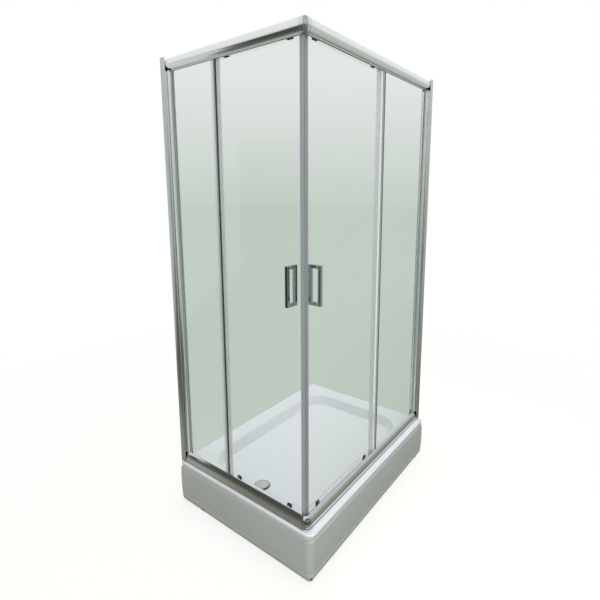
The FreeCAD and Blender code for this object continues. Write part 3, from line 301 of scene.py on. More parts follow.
def make_floor():
    """Dim paint for light and metal, lifted to white for the camera, pale green behind the panes."""
    material = bpy.data.materials.new("studio_floor")
    material.use_nodes = True
    tree = material.node_tree
    tree.nodes.clear()
    paint = node_of(tree, "ShaderNodeBsdfDiffuse", (-200, 300))
    paint.inputs["Color"].default_value = (*floor_paint, 1.0)
    rays = node_of(tree, "ShaderNodeLightPath", (-900, 0))
    lift = node_of(tree, "ShaderNodeMath", (-600, 100), operation="MULTIPLY")
    lift.inputs[1].default_value = floor_lift
    glow = node_of(tree, "ShaderNodeEmission", (-200, 150))
    lifted = node_of(tree, "ShaderNodeAddShader", (0, 200))
    white = node_of(tree, "ShaderNodeEmission", (0, 50))
    where = node_of(tree, "ShaderNodeTexCoord", (-1100, -200))
    reach = node_of(tree, "ShaderNodeVectorMath", (-900, -200), operation="LENGTH")
    fade = node_of(tree, "ShaderNodeMapRange", (-700, -200), interpolation_type="SMOOTHSTEP")
    fade.inputs["From Min"].default_value = fade_from
    fade.inputs["From Max"].default_value = fade_to
    far = node_of(tree, "ShaderNodeMath", (-400, -100), operation="MULTIPLY")
    faded = node_of(tree, "ShaderNodeMixShader", (200, 150))
    behind = node_of(tree, "ShaderNodeEmission", (200, -50))
    behind.inputs["Color"].default_value = (*wall_low, 1.0)
    seen = node_of(tree, "ShaderNodeMixShader", (400, 100))
    place = where.outputs["Object"]
    mirrored = node_of(tree, "ShaderNodeEmission", (200, -150))
    reflected = node_of(tree, "ShaderNodeMixShader", (300, 100))
    out = node_of(tree, "ShaderNodeOutputMaterial", (600, 100))
    tree.links.new(mirrored_floor(tree, place), mirrored.inputs["Color"])
    tree.links.new(rays.outputs["Is Camera Ray"], lift.inputs[0])
    tree.links.new(lift.outputs[0], glow.inputs["Strength"])
    tree.links.new(paint.outputs[0], lifted.inputs[0])
    tree.links.new(glow.outputs[0], lifted.inputs[1])
    tree.links.new(place, reach.inputs[0])
    tree.links.new(reach.outputs["Value"], fade.inputs["Value"])
    tree.links.new(fade.outputs["Result"], far.inputs[0])
    tree.links.new(rays.outputs["Is Camera Ray"], far.inputs[1])
    tree.links.new(far.outputs[0], faded.inputs[0])
    tree.links.new(lifted.outputs[0], faded.inputs[1])
    tree.links.new(white.outputs[0], faded.inputs[2])
    tree.links.new(rays.outputs["Is Glossy Ray"], reflected.inputs[0])
    tree.links.new(faded.outputs[0], reflected.inputs[1])
    tree.links.new(mirrored.outputs[0], reflected.inputs[2])
    tree.links.new(rays.outputs["Is Transmission Ray"], seen.inputs[0])
    tree.links.new(reflected.outputs[0], seen.inputs[1])
    tree.links.new(behind.outputs[0], seen.inputs[2])
    tree.links.new(seen.outputs[0], out.inputs[0])
    floor = plain_sheet("studio_floor", floor_size, floor_size, Matrix.Identity(4))
    floor.data.materials.append(material)
    return floor


floor = make_floor()
print("floor of", round(floor.dimensions.x), "m, lift", floor_lift)

# %% [markdown]
# ## The lamps
# A broad lamp overhead lights the tray, a weaker one on the right lifts the long side, and a low one on the right in
# front lights the apron. Large lamps stand for the soft boxes of a studio. A sun lamp would cut hard shadows. They
# give light only: metal, panes and camera don't see them, so no bright rectangle hangs in a rail or behind the glass.

# %% Lamps


def soft_lamp(name, place, aim, width, depth, power):
    """A large soft lamp that looks at a point."""
    data = bpy.data.lights.new(name, "AREA")
    data.shape = "RECTANGLE"
    data.size = width
    data.size_y = depth
    data.energy = power
    lamp = bpy.data.objects.new(name, data)
    lamp.location = place
    lamp.rotation_euler = (Vector(aim) - Vector(place)).to_track_quat("-Z", "Y").to_euler()
    lamp.visible_glossy = False
    lamp.visible_transmission = False
    lamp.visible_camera = False
    scene.collection.objects.link(lamp)
    return lamp


overhead = soft_lamp("overhead_lamp", (0.2, 0.2, 4.4), aim=(0.0, 0.0, 0.2), width=3.0, depth=3.0, power=88.0)
right_lamp = soft_lamp("right_lamp", (3.4, -0.6, 3.4), aim=(0.2, -0.2, 0.8), width=2.4, depth=2.4, power=24.0)
fill_lamp = soft_lamp("fill_lamp", (3.2, -4.0, 1.0), aim=(0.2, -0.3, 0.5), width=3.0, depth=1.6, power=62.0)
print("lamps", overhead.data.energy, right_lamp.data.energy, fill_lamp.data.energy, "W")

# %% [markdown]
# ## Cards that only metal sees
# Photographers stand cards round polished things and look at what they do in the metal. A dark one stands close in
# front, a little lower than the top rail. The top rail then mirrors it in its lower half and the bottom rail
# in its upper half, both from the same place on. A light one stands further off on the left. The dark card's edge
# is nearly crisp and the light card's is soft. They give light to nothing, and the camera never sees them
# directly. The streak could be painted on the rails, but it would then stay put when the view changes.

# %% Cards


def make_card(name, place, width, height, turn, shade, soft_edge):
    """A standing card with soft edges, hidden from the camera and from soft light, for polished metal to reflect."""
    card = plain_sheet(name, width, height, Matrix.Rotation(math.radians(90.0), 4, "X"))
    card.location = place
    card.rotation_euler = (0.0, 0.0, math.radians(turn))
    material = bpy.data.materials.new(name)
    material.use_nodes = True
    tree = material.node_tree
    tree.nodes.clear()
    where = node_of(tree, "ShaderNodeTexCoord", (-900, 0))
    parts = node_of(tree, "ShaderNodeSeparateXYZ", (-700, 0))
    tree.links.new(where.outputs["Object"], parts.inputs["Vector"])
    cover = None
    for axis, reach in (("X", width / 2), ("Z", height / 2)):
        size = node_of(tree, "ShaderNodeMath", (-500, 0), operation="ABSOLUTE")
        edge = node_of(tree, "ShaderNodeMapRange", (-350, 0), interpolation_type="SMOOTHSTEP")
        edge.inputs["From Min"].default_value = reach
        edge.inputs["From Max"].default_value = reach - soft_edge
        tree.links.new(parts.outputs[axis], size.inputs[0])
        tree.links.new(size.outputs[0], edge.inputs["Value"])
        if cover is None:
            cover = edge.outputs["Result"]
        else:
            both = node_of(tree, "ShaderNodeMath", (-200, 0), operation="MULTIPLY")
            tree.links.new(cover, both.inputs[0])
            tree.links.new(edge.outputs["Result"], both.inputs[1])
            cover = both.outputs[0]
    clear = node_of(tree, "ShaderNodeBsdfTransparent", (-50, 100))
    glow = node_of(tree, "ShaderNodeEmission", (-50, 0))
    glow.inputs["Color"].default_value = (*shade, 1.0)
    mix = node_of(tree, "ShaderNodeMixShader", (100, 0))
    out = node_of(tree, "ShaderNodeOutputMaterial", (250, 0))
    tree.links.new(cover, mix.inputs[0])
    tree.links.new(clear.outputs[0], mix.inputs[1])
    tree.links.new(glow.outputs[0], mix.inputs[2])
    tree.links.new(mix.outputs[0], out.inputs[0])
    card.data.materials.append(material)
    card.visible_camera = False
    card.visible_diffuse = False
    card.visible_shadow = False
    card.visible_transmission = False
    return card


front_card = make_card("front_card", (-0.97, -2.25, 0.95), width=1.58, height=2.1, turn=0.0,
                       shade=(0.075, 0.082, 0.070), soft_edge=0.03)
left_card = make_card("left_card", (-4.6, -2.6, 1.8), width=2.8, height=3.6, turn=-60.0,
                      shade=(0.74, 0.77, 0.76), soft_edge=0.4)
print("cards:", front_card.name, left_card.name)

# %% [markdown]
# ## Finishes
# Each kind of finish is one function. They all start from Blender's Principled shader, and all add something that
# breaks up the flat colour: faint clouds in the roughness, drawn lines along an extruded profile, a skin of
# tiny bumps on moulded parts. The patterns read Object coordinates, so they stay put on the piece in every view.
# Four helpers are shared: noise, noise spread over a range, a bump, and a drift between two close shades.

# %% Helpers for finishes


def start_finish(name, colour, metallic, roughness):
    """A material with a Principled shader and the piece's own coordinates."""
    material = bpy.data.materials.new(name)
    material.use_nodes = True
    tree = material.node_tree
    tree.nodes.clear()
    shader = node_of(tree, "ShaderNodeBsdfPrincipled", (200, 0))
    shader.inputs["Base Color"].default_value = (*colour, 1.0)
    shader.inputs["Metallic"].default_value = metallic
    shader.inputs["Roughness"].default_value = roughness
    out = node_of(tree, "ShaderNodeOutputMaterial", (500, 0))
    tree.links.new(shader.outputs[0], out.inputs[0])
    coordinates = node_of(tree, "ShaderNodeTexCoord", (-1000, 0))
    return material, tree, shader, coordinates.outputs["Object"]


def clouds(tree, where, scale, stretch=(1.0, 1.0, 1.0), detail=3.0):
    """Noise on the piece, stretched along any axis."""
    mapping = node_of(tree, "ShaderNodeMapping", (-800, 0))
    mapping.inputs["Scale"].default_value = stretch
    noise = node_of(tree, "ShaderNodeTexNoise", (-600, 0))
    noise.inputs["Scale"].default_value = scale
    noise.inputs["Detail"].default_value = detail
    tree.links.new(where, mapping.inputs["Vector"])
    tree.links.new(mapping.outputs["Vector"], noise.inputs["Vector"])
    return noise.outputs["Fac"]


def spread(tree, value, low, high):
    """Turns noise of about 0.3 to 0.7 into values between low and high."""
    ramp = node_of(tree, "ShaderNodeMapRange", (-350, 0))
    ramp.inputs["From Min"].default_value = 0.3
    ramp.inputs["From Max"].default_value = 0.7
    ramp.inputs["To Min"].default_value = low
    ramp.inputs["To Max"].default_value = high
    tree.links.new(value, ramp.inputs["Value"])
    return ramp.outputs["Result"]


def bump(tree, shader, value, strength, distance):
    """Raises the surface by a pattern."""
    node = node_of(tree, "ShaderNodeBump", (0, -300))
    node.inputs["Strength"].default_value = strength
    node.inputs["Distance"].default_value = distance
    tree.links.new(value, node.inputs["Height"])
    tree.links.new(node.outputs["Normal"], shader.inputs["Normal"])


def two_shades(tree, shader, value, first, second):
    """Lets the colour drift between two close shades."""
    mix = node_of(tree, "ShaderNodeMix", (-100, 200), data_type="RGBA")
    mix.inputs["A"].default_value = (*first, 1.0)
    mix.inputs["B"].default_value = (*second, 1.0)
    tree.links.new(value, mix.inputs["Factor"])
    tree.links.new(mix.outputs["Result"], shader.inputs["Base Color"])


# %% [markdown]
# ## Acrylic
# Tray and apron are vacuum-formed sheet. A thin clear coat gives the gloss, and a shallow waviness bends the
# reflections a little, as it does on a real tray. A strong bump would look like dented metal, so it is kept so low
# that only reflections show it. The apron is the same white acrylic as the tray, set pale grey as painted shade.

# %% Acrylic


def acrylic(name, first, second, roughness):
    """Vacuum-formed acrylic sheet: glossy, with a very shallow waviness from the mould."""
    material, tree, shader, where = start_finish(name, first, 0.0, roughness)
    shader.inputs["IOR"].default_value = 1.49
    shader.inputs["Coat Weight"].default_value = 0.25
    shader.inputs["Coat Roughness"].default_value = 0.08
    two_shades(tree, shader, clouds(tree, where, scale=2.2), first, second)
    gloss = clouds(tree, where, scale=60.0)
    tree.links.new(spread(tree, gloss, roughness - 0.01, roughness + 0.01), shader.inputs["Roughness"])
    bump(tree, shader, clouds(tree, where, scale=5.0, detail=0.0), strength=0.01, distance=0.002)
    return material


tray_white = acrylic("white_acrylic", (0.87, 0.88, 0.92), (0.89, 0.90, 0.94), 0.22)
# Painted shade: the apron's pale grey stands in for the shade on its upright faces; the sheet itself is white.
apron_painted_shade = acrylic("acrylic_painted_shade", (0.590, 0.620, 0.580), (0.600, 0.630, 0.590), 0.26)
print("acrylic:", tray_white.name, apron_painted_shade.name)

# %% [markdown]
# ## Extruded metal
# Rails and profiles are drawn through a die, which leaves faint lines along them. They are too fine to model, so
# they are noise, squeezed across the profile and stretched along it. The rails of the two sides run along
# different axes and need a material each. Rails are polished, posts are satin.

# %% Extruded metal
line_density = 180.0
line_drift = 1.5


def extruded_metal(name, colour, roughness, along):
    """Polished aluminium profile with the faint drawn lines that run along an axis of 0, 1 or 2."""
    material, tree, shader, where = start_finish(name, colour, 1.0, roughness)
    stretch = [line_density] * 3
    stretch[along] = line_drift
    lines = clouds(tree, where, 6.0, stretch)
    patches = clouds(tree, where, scale=5.0)
    tree.links.new(spread(tree, patches, roughness * 0.75, roughness * 1.35), shader.inputs["Roughness"])
    bump(tree, shader, lines, strength=0.05, distance=0.0004)
    return material


bright = (0.80, 0.81, 0.80)
rail_metal = {"front": extruded_metal("polished_rail_front", bright, roughness=0.10, along=0),
              "side": extruded_metal("polished_rail_side", bright, roughness=0.10, along=1)}
post_metal = extruded_metal("polished_post", (0.56, 0.60, 0.58), roughness=0.24, along=2)
adjusting_metal = extruded_metal("satin_post", (0.86, 0.87, 0.86), roughness=0.24, along=2)
print("profiles:", [material.name for material in rail_metal.values()], post_metal.name)

# %% [markdown]
# ## Chrome and steel
# Plating follows the casting below it, so its gloss varies in small clouds. Perfectly even chrome is what gives a
# computer picture away. The corner castings are the brightest, the handles and the ring of the drain are darker,
# screws and rods are plain steel, and the hidden frame is galvanised.

# %% Chrome and steel


def plated_metal(name, colour, roughness, scale=40.0):
    """Chrome plating over a casting, or a turned steel part: small clouds in the gloss."""
    material, tree, shader, where = start_finish(name, colour, 1.0, roughness)
    gloss = clouds(tree, where, scale)
    tree.links.new(spread(tree, gloss, roughness * 0.7, roughness * 1.5), shader.inputs["Roughness"])
    bump(tree, shader, clouds(tree, where, scale * 2.0), strength=0.03, distance=0.0005)
    return material


corner_chrome = plated_metal("corner_chrome", (0.70, 0.72, 0.71), 0.07)
handle_chrome = plated_metal("handle_chrome", (0.40, 0.41, 0.42), 0.12)
drain_chrome = plated_metal("drain_chrome", (0.56, 0.57, 0.59), 0.18)
drain_ring = plated_metal("drain_ring", (0.26, 0.27, 0.28), 0.24)
steel = plated_metal("bright_steel", (0.60, 0.61, 0.62), 0.30)
galvanised = plated_metal("galvanised_steel", (0.50, 0.52, 0.53), 0.42, scale=14.0)
print("metals:", corner_chrome.name, handle_chrome.name, drain_chrome.name, steel.name, galvanised.name)

# %% [markdown]
# ## Glass
# Safety glass is faintly green. A pane is a closed solid, so light is bent on the way in and back on the way out, as
# in a real one. The tint is weaker than it looks: most of the green comes from what stands behind the panes.

# %% Glass


def pane_glass(name, tint):
    """Float glass, which is faintly green: a clear transmitting shader with a tint."""
    material, tree, shader, where = start_finish(name, tint, 0.0, 0.0)
    shader.inputs["IOR"].default_value = 1.45
    shader.inputs["Transmission Weight"].default_value = 1.0
    two_shades(tree, shader, clouds(tree, where, scale=0.8), tint, tuple(value * 0.985 for value in tint))
    bump(tree, shader, clouds(tree, where, scale=1.6), strength=0.01, distance=0.001)
    return material


clear_glass = pane_glass("green_tinted_glass", (0.885, 0.925, 0.90))
print("glass:", clear_glass.name)

# %% [markdown]
# ## Moulded plastics and rubber
# Guides, wheels, stops, gaskets and magnetic strips share one kind of finish: a fine grain and a slight drift in
# shade. A scanned texture could give the same, but noise has no seams and fits a piece of any size. The magnetic
# strips of the two doors are one grey with painted light: the front strip is set lighter than the side strip.

# %% Moulded plastics and rubber
grain_strength = 0.12
grain_height = 0.0004


def moulded(name, first, second, roughness, grain):
    """Injection-moulded plastic or rubber: a fine grain and a slight drift in shade."""
    material, tree, shader, where = start_finish(name, first, 0.0, roughness)
    two_shades(tree, shader, clouds(tree, where, scale=30.0), first, second)
    gloss = clouds(tree, where, scale=60.0)
    tree.links.new(spread(tree, gloss, roughness - 0.06, roughness + 0.08), shader.inputs["Roughness"])
    bump(tree, shader, clouds(tree, where, grain), strength=grain_strength, distance=grain_height)
    return material


# Painted light: the front strip is set lighter than the side strip, for the little light that reaches the front.
magnet_lit_and_shaded = {"front": moulded("front_magnet_painted_light", (0.47, 0.49, 0.52), (0.52, 0.54, 0.57), 0.36, 220.0),
               "side": moulded("side_magnet_strip", (0.33, 0.345, 0.365), (0.37, 0.385, 0.405), 0.36, 220.0)}
dark_rubber = moulded("dark_rubber", (0.030, 0.032, 0.033), (0.045, 0.046, 0.048), 0.62, 300.0)
black_nylon = moulded("black_nylon", (0.016, 0.017, 0.018), (0.028, 0.029, 0.030), 0.38, 260.0)
wheel_nylon = moulded("white_nylon", (0.66, 0.66, 0.63), (0.72, 0.72, 0.70), 0.34, 200.0)
drain_plastic = moulded("drain_plastic", (0.70, 0.71, 0.70), (0.76, 0.77, 0.76), 0.32, 90.0)
gasket_grey = moulded("grey_gasket", (0.42, 0.45, 0.44), (0.47, 0.50, 0.49), 0.5, 240.0)
rail_gasket = moulded("rail_gasket", (0.20, 0.21, 0.205), (0.24, 0.25, 0.245), 0.5, 240.0)
plastics = (*magnet_lit_and_shaded.values(), dark_rubber, black_nylon, wheel_nylon, drain_plastic, gasket_grey, rail_gasket)
print("plastics:", [material.name for material in plastics])

# %% [markdown]
# ## Edge strips
# A strip is clipped over the free edge of each fixed pane. Its body is pale, and a dark soft lip runs down the side
# that the sliding pane brushes past. Two materials would need two sets of faces. Here one material looks at how
# far a point is across the strip and changes over within half a millimetre.

# %% Edge strips


def edged_strip(name, axis, start, end, dark, pale):
    """A clip-on strip with a dark soft lip along one side and a pale body, told apart by place."""
    material, tree, shader, where = start_finish(name, pale, 0.0, 0.42)
    parts = node_of(tree, "ShaderNodeSeparateXYZ", (-800, 300))
    ramp = node_of(tree, "ShaderNodeMapRange", (-600, 300))
    ramp.inputs["From Min"].default_value = start
    ramp.inputs["From Max"].default_value = end
    tree.links.new(where, parts.inputs["Vector"])
    tree.links.new(parts.outputs[axis], ramp.inputs["Value"])
    two_shades(tree, shader, ramp.outputs["Result"], dark, pale)
    gloss = clouds(tree, where, scale=60.0)
    tree.links.new(spread(tree, gloss, 0.36, 0.50), shader.inputs["Roughness"])
    bump(tree, shader, clouds(tree, where, scale=220.0), strength=grain_strength, distance=grain_height)
    return material


front_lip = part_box("front_fixed_trim")[1].x - 0.0014
side_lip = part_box("side_fixed_trim")[0].y + 0.0018
lip_blend = 0.0006
dark_lip = (0.045, 0.050, 0.055)
pale_strip = (0.50, 0.53, 0.52)
dark_trim = {"front": edged_strip("front_edge_strip", "X", front_lip, front_lip - lip_blend, dark_lip, pale_strip),
             "side": edged_strip("side_edge_strip", "Y", side_lip, side_lip - lip_blend, dark_lip, pale_strip)}
print("edge strips:", [material.name for material in dark_trim.values()])

# %% [markdown]
# ## Clear seals
# The trailing edge of a sliding pane has a clear flexible seal. Real soft plastic scatters light inside. A see-through
# surface with a soft shine looks the same on a strip this thin and takes far less time to render.

# %% Clear seals


def clear_strip(name, tint, roughness, cover):
    """Clear flexible strip: mostly see-through, with a soft shine of its own."""
    material, tree, shader, where = start_finish(name, tint, 0.0, roughness)
    shader.inputs["IOR"].default_value = 1.45
    shader.inputs["Alpha"].default_value = cover
    two_shades(tree, shader, clouds(tree, where, scale=12.0), tint, tuple(value * 0.95 for value in tint))
    waves = clouds(tree, where, scale=25.0, stretch=(1.0, 1.0, 0.05))
    bump(tree, shader, waves, strength=0.08, distance=0.0006)
    return material


clear_seal = clear_strip("clear_seal", (0.74, 0.78, 0.77), 0.22, 0.30)
print("seal:", clear_seal.name)

# %% [markdown]
# ## Which solid gets which finish
# The record names a material slot for every solid. Most finishes follow that slot. A few depend on the node:
# the drawn lines of a rail run along it, the handles and the drain are a darker chrome than the corner castings,
# the magnetic strips differ from side to side as painted light, and edge strips and gaskets differ from side to side
# or from place to place.

# %% Finish every solid
finish_of_slot = {
    "tray_acrylic": tray_white, "apron_acrylic": apron_painted_shade, "polished_frame": post_metal,
    "adjusting_profile": adjusting_metal, "chrome": corner_chrome, "clear_glass": clear_glass,
    "clear_seal": clear_seal, "dark_rubber": dark_rubber, "black_nylon": black_nylon, "wheel_nylon": wheel_nylon,
    "steel": steel, "drain_plastic": drain_plastic, "galvanised": galvanised,
}


def finish_for(node):
    """The finish of a solid, from its slot and, where that isn't enough, from its name."""
    side = node.split("_")[0]
    for ending, finish_of_side in (("_rail", rail_metal), ("_magnet_seal", magnet_lit_and_shaded), ("_fixed_trim", dark_trim)):
        if node.endswith(ending):
            return finish_of_side[side]
    if node.endswith("_handle"):
        return handle_chrome
    if node == "drain_flange":
        return drain_ring
    if node.startswith("drain_") and slot_of_node[node] == "chrome":
        return drain_chrome
    if node.endswith("glass_gasket"):
        return gasket_grey
    if node.endswith("rail_gaskets"):
        return rail_gasket
    return finish_of_slot[slot_of_node[node]]


for node, solid in nodes.items():
    solid.data.materials.clear()
    solid.data.materials.append(finish_for(node))
print("finished", len(nodes), "solids")

# %% [markdown]
# ## From a mesh to a piece
# Every new mesh becomes a piece in the same way: it is shaded smooth but for its sharp edges, its normals are
# evened out so that flat faces stay flat beside a round edge, and it is hung on the body that it moves with.

# %% A helper for pieces
smooth_angle = math.radians(40.0)


def add_piece(name, bm, body, material):
    """Turns a finished mesh into a piece that rides a body and carries a finish."""
    mesh = bpy.data.meshes.new(name)
    bm.to_mesh(mesh)
    bm.free()
    mesh.shade_smooth()
    mesh.set_sharp_from_angle(angle=smooth_angle)
    mesh.materials.append(material)
    piece = bpy.data.objects.new(name, mesh)
    scene.collection.objects.link(piece)
    normals = piece.modifiers.new("even_normals", "WEIGHTED_NORMAL")
    normals.keep_sharp = True
    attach(piece, body)
    return piece


print("faces that meet at less than", round(math.degrees(smooth_angle)), "degrees look smooth")

# %% [markdown]
# ## Rounded edges
# A real part has no knife-sharp edge: extrusions, castings and mouldings all have a small radius that catches a
# line of light. Each solid in this list is copied, its flat facets are merged, and every edge sharper than 35
# degrees is rounded. A Decimate and a Bevel modifier could do the same, but the next step has to look at the
# finished faces, so it is done in the mesh. The copy takes the place of its solid and stays in the same space. The
# radii are in metres and small, because a larger one would eat into the fine steps of a casting.

# %% Copies with rounded edges
edge_radius = {
    "front_door_outer_handle": 0.0012, "front_door_inner_handle": 0.0012,
    "side_door_outer_handle": 0.0012, "side_door_inner_handle": 0.0012,
    "front_door_bottom_guides": 0.0008, "side_door_bottom_guides": 0.0008,
    "front_door_top_brackets": 0.0008, "side_door_top_brackets": 0.0008, "door_stops": 0.0008,
    "foot_pads": 0.0015, "foot_nuts": 0.0006, "apron_brackets": 0.0004, "support_frame": 0.0006,
    "drain_cover": 0.0006, "drain_flange": 0.0010, "drain_trap": 0.0008,
    "front_wall_profile": 0.0006, "side_wall_profile": 0.0006,
    "front_inner_profile": 0.0005, "side_inner_profile": 0.0005,
    "front_top_rail": 0.0004, "side_top_rail": 0.0004, "front_bottom_rail": 0.0003, "side_bottom_rail": 0.0003,
    "top_corner_connector": 0.0004, "bottom_corner_connector": 0.0004, "apron": 0.0006,
    "front_door_magnet_seal": 0.0006, "side_door_magnet_seal": 0.0006,
    "front_fixed_trim": 0.0005, "side_fixed_trim": 0.0005,
    "front_door_trailing_seal": 0.0003, "side_door_trailing_seal": 0.0003,
    "front_lead_top_wheel": 0.0004, "front_trail_top_wheel": 0.0004,
    "side_lead_top_wheel": 0.0004, "side_trail_top_wheel": 0.0004,
    "front_lead_guide_wheel": 0.0004, "front_trail_guide_wheel": 0.0004,
    "side_lead_guide_wheel": 0.0004, "side_trail_guide_wheel": 0.0004,
}
doubles_distance = 0.00001
flat_angle = math.radians(1.0)
rounded_angle = math.radians(35.0)
edge_steps = 2


def soften(node, radius):
    """Copies a solid, rounds its sharp edges and puts the copy in its place."""
    bm = bmesh.new()
    bm.from_mesh(nodes[node].data)
    bmesh.ops.remove_doubles(bm, verts=bm.verts, dist=doubles_distance)
    bmesh.ops.dissolve_limit(bm, angle_limit=flat_angle, verts=bm.verts, edges=bm.edges)
    sharp = [edge for edge in bm.edges if len(edge.link_faces) == 2 and edge.calc_face_angle(0.0) > rounded_angle]
    bmesh.ops.bevel(bm, geom=sharp, offset=radius, offset_type="OFFSET", affect="EDGES", segments=edge_steps,
                    profile=0.5, material=-1)
    bmesh.ops.recalc_face_normals(bm, faces=bm.faces)
    piece = add_piece("soft_" + node, bm, body_of_node[node], finish_for(node))
    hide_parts(node)
    return piece


soft_pieces = [soften(node, radius) for node, radius in edge_radius.items()]
print("rounded", len(soft_pieces), "solids,", sum(len(piece.data.polygons) for piece in soft_pieces), "faces")

# %% [markdown]
# ## The inside of the top rails
# A mirror finish in the hollow of a rail would trap the light and leave a black line under the rail. So the hollow
# gets painted light. The faces could be picked by hand, but they change with the rail. So a rule picks them: a face
# belongs to the hollow if a ray that leaves it straight out soon meets the same rail again. Such faces get a second,
# pale and dull finish, which stands in for light that doesn't reach them.

# %% Inside of the top rails
hollow_reach = 0.06
start_gap = 0.0002


def faces_of(mesh):
    """A search tree over the faces of a mesh."""
    return BVHTree.FromPolygons([vertex.co for vertex in mesh.vertices], [face.vertices[:] for face in mesh.polygons])


def paint_light_inside(piece, reach):
    """Gives the faces that look into the hollow of a rail a pale finish of painted light, and counts them."""
    mesh = piece.data
    mesh.materials.append(rail_hollow_painted_light)
    tree = faces_of(mesh)
    inner = 0
    for face in mesh.polygons:
        start = face.center + face.normal * start_gap
        if tree.ray_cast(start, face.normal, reach)[0] is not None:
            face.material_index = 1
            inner += 1
    return inner


# Painted light: this pale grey stands in for light that never reaches the hollow of a rail.
rail_hollow_painted_light = moulded("rail_hollow_painted_light", (0.62, 0.64, 0.62), (0.68, 0.70, 0.68), 0.5, 120.0)
inner_faces = [paint_light_inside(piece, hollow_reach) for piece in soft_pieces if piece.name.endswith("_top_rail")]
print("faces inside the top rails:", inner_faces)

# %% [markdown]
# ## The outline of a corner casting
# The corner castings are a quarter turn of the rail's section, round an upright axis inside the corner. To set
# something on one, its outline has to be known. It could be worked out from the section again, but the solid is
# there to be looked at: rays from outside, level by level, towards that axis, give points on it at any angle.

# %% The outline of a corner casting
corner_reach = 0.032
look_from = 0.1
rib_levels = 25
rib_end_angle = 68.0
rib_sink = 0.0012


def outward_at(angle):
    """The level direction that is turned from the front towards the side by this angle."""
    return Vector((math.sin(math.radians(angle)), -math.cos(math.radians(angle)), 0.0))


def rib_points(tree, axis, angle, middle, half):
    """Points up the outside of the casting at this angle, each with the share of the rib's thickness there."""
    outward = outward_at(angle)
    found = []
    for level in range(rib_levels):
        climb = math.radians(rib_end_angle * (2 * level / (rib_levels - 1) - 1))
        start = Vector((axis.x, axis.y, middle + half * math.sin(climb))) + outward * look_from
        hit = tree.ray_cast(start, -outward, look_from)[0]
        found.append((hit - outward * rib_sink, math.cos(climb) ** 0.5))
    return found


corner_middle = Vector((side_face - corner_reach, front_face + corner_reach, 0.0))
print("axis of the corner castings at", [round(value, 3) for value in corner_middle.xy])

# %% [markdown]
# ## Ribs on the upper corner
# The casting that joins the two top rails has flat upright bands on its rounded outside. Each band gets a round rib:
# a bar bent to the outline and sunk into it, thinner towards the ends. A bump in the finish would look alike from
# afar, but real bars also catch the light at the edge of the casting. A curve with a round section draws each
# bar, and its mesh is closed and kept.

# %% Corner ribs
rib_radius = 0.0027
rib_angles = (31.0, 45.0, 59.0)
rib_roundness = 3
same_point = 0.000001


def make_ribs(node):
    """All ribs of a corner casting as one piece."""
    tree = faces_of(nodes[node].data)
    low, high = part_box(node)
    bars = bpy.data.curves.new("rib_bars", "CURVE")
    bars.dimensions = "3D"
    bars.bevel_depth = rib_radius
    bars.bevel_resolution = rib_roundness
    bars.use_fill_caps = True
    for angle in rib_angles:
        points = rib_points(tree, corner_middle, angle, (low.z + high.z) / 2, (high.z - low.z) / 2)
        spline = bars.splines.new("POLY")
        spline.points.add(len(points) - 1)
        for target, (point, thickness) in zip(spline.points, points):
            target.co = (*point, 1.0)
            target.radius = thickness
    holder = bpy.data.objects.new("rib_bars", bars)
    scene.collection.objects.link(holder)
    mesh = bpy.data.meshes.new_from_object(holder)
    bpy.data.objects.remove(holder)
    bm = bmesh.new()
    bm.from_mesh(mesh)
    bpy.data.meshes.remove(mesh)
    bmesh.ops.remove_doubles(bm, verts=bm.verts, dist=same_point)
    bmesh.ops.recalc_face_normals(bm, faces=bm.faces)
    return add_piece(node + "_ribs", bm, body_of_node[node], rib_chrome)


rib_chrome = plated_metal("rib_chrome", (0.38, 0.40, 0.38), 0.14)
corner_ribs = make_ribs("top_corner_connector")
print("ribs:", len(rib_angles), "with", len(corner_ribs.data.polygons), "faces")

# %% [markdown]
# ## Turned forms
# Caps and bosses are turned parts. They could be cylinders with bevelled ends, but a groove or a dome needs an
# outline of its own. So they are made as on a lathe: half a section is drawn from the middle of the dome out to the
# foot and spun once round. Its points are in shares of radius and height. The foot lies below the face that the
# form stands on.

# %% Turned forms
turned_steps = 32


def turned_forms(outline, radius, height, outward, places):
    """The same turned form at every place, its dome towards outward, as one mesh."""
    bm = bmesh.new()
    for place in places:
        one = bmesh.new()
        points = [one.verts.new((radius * out, 0.0, height * up)) for out, up in outline]
        edges = [one.edges.new(pair) for pair in zip(points, points[1:])]
        bmesh.ops.spin(one, geom=points + edges, cent=(0.0, 0.0, 0.0), axis=(0.0, 0.0, 1.0),
                       angle=math.tau, steps=turned_steps, use_merge=True)
        bmesh.ops.remove_doubles(one, verts=one.verts, dist=same_point)
        bmesh.ops.recalc_face_normals(one, faces=one.faces)
        turn = Vector(outward).to_track_quat("Z", "Y").to_matrix().to_4x4()
        bmesh.ops.transform(one, matrix=Matrix.Translation(place) @ turn, verts=one.verts)
        mesh = bpy.data.meshes.new("one_form")
        one.to_mesh(mesh)
        one.free()
        bm.from_mesh(mesh)
        bpy.data.meshes.remove(mesh)
    return bm


print("turned forms have", turned_steps, "steps")

# %% [markdown]
# ## Caps on the lower guides
# Each lower guide carries a small bright cap over its adjusting screw: a flat rim, a shallow groove and a low dome.
# Each could be a piece of its own, but the two caps of a door always move together, so they are one.

# %% Guide caps
cap_radius = 0.0062
cap_height = 0.0016
cap_below_guide_top = 0.0095
guide_width = 0.020
cap_outline = ((0.0, 1.0), (0.30, 0.97), (0.55, 0.86), (0.70, 0.66), (0.76, 0.52), (0.82, 0.66), (0.92, 0.66),
               (1.0, 0.45), (1.0, -0.1), (0.0, -0.1))


def make_caps(side, outward, places):
    """The caps of one door, standing on the outer face of its guides."""
    bm = turned_forms(cap_outline, cap_radius, cap_height, outward, places)
    return add_piece(side + "_guide_caps", bm, side + "_door", cap_chrome)


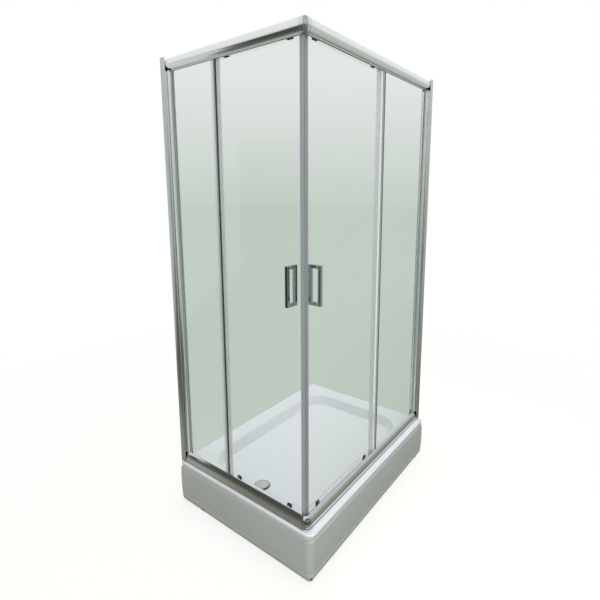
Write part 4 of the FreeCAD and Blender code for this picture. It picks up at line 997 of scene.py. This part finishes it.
cap_chrome = plated_metal("cap_chrome", (0.86, 0.87, 0.86), 0.30)
low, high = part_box("front_door_bottom_guides")
cap_level = high.z - cap_below_guide_top
front_caps = make_caps("front", (0.0, -1.0, 0.0), [(low.x + guide_width / 2, low.y, cap_level),
                                                   (high.x - guide_width / 2, low.y, cap_level)])
low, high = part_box("side_door_bottom_guides")
side_caps = make_caps("side", (1.0, 0.0, 0.0), [(high.x, low.y + guide_width / 2, cap_level),
                                                (high.x, high.y - guide_width / 2, cap_level)])
print("caps:", front_caps.name, side_caps.name)

# %% [markdown]
# ## Boss on the lower corner
# The lower corner casting has a round boss on its outside, a dome flatter than half a ball. It is turned like the
# caps, faces out from the axis of the quarter turn, and is sunk into the casting, so that no gap shows where the
# casting curves away.

# %% Boss on the lower corner
boss_radius = 0.0130
boss_height = 0.0080
boss_steps = 10
boss_foot = -0.8
boss_angles = [math.pi / 2 * step / boss_steps for step in range(boss_steps + 1)]
boss_outline = [(math.sin(angle), math.cos(angle)) for angle in boss_angles] + [(1.0, boss_foot), (0.0, boss_foot)]
boss_reach = 0.0270
boss_below_top = 0.0185
boss_turn = 56.0
casting = "bottom_corner_connector"
outward = outward_at(boss_turn)
boss_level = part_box(casting)[1].z - boss_below_top
boss_place = Vector((corner_middle.x, corner_middle.y, boss_level)) + outward * boss_reach
boss_mesh = turned_forms(boss_outline, boss_radius, boss_height, outward, [boss_place])
# Painted reflection: the boss is set a dark olive chrome, much darker than its casting, for the dark reflection it
# shows.
boss_painted_reflection = plated_metal("boss_painted_reflection", (0.20, 0.22, 0.19), 0.10)
corner_boss = add_piece("bottom_corner_boss", boss_mesh, body_of_node[casting], boss_painted_reflection)
print("boss:", corner_boss.name, "radius", boss_radius)

# %% [markdown]
# ## Panes and light
# The renderer gives a clear pane the shadow of a solid one. Real light passes through, so the panes and the
# clear seals are left out of the shadows.

# %% Let light through the panes
clear_pieces = [piece for piece in [*nodes.values(), *soft_pieces]
                if piece.data.materials[0] in (clear_glass, clear_seal)]
for piece in clear_pieces:
    piece.visible_shadow = False
print("light passes through", len(clear_pieces), "pieces")
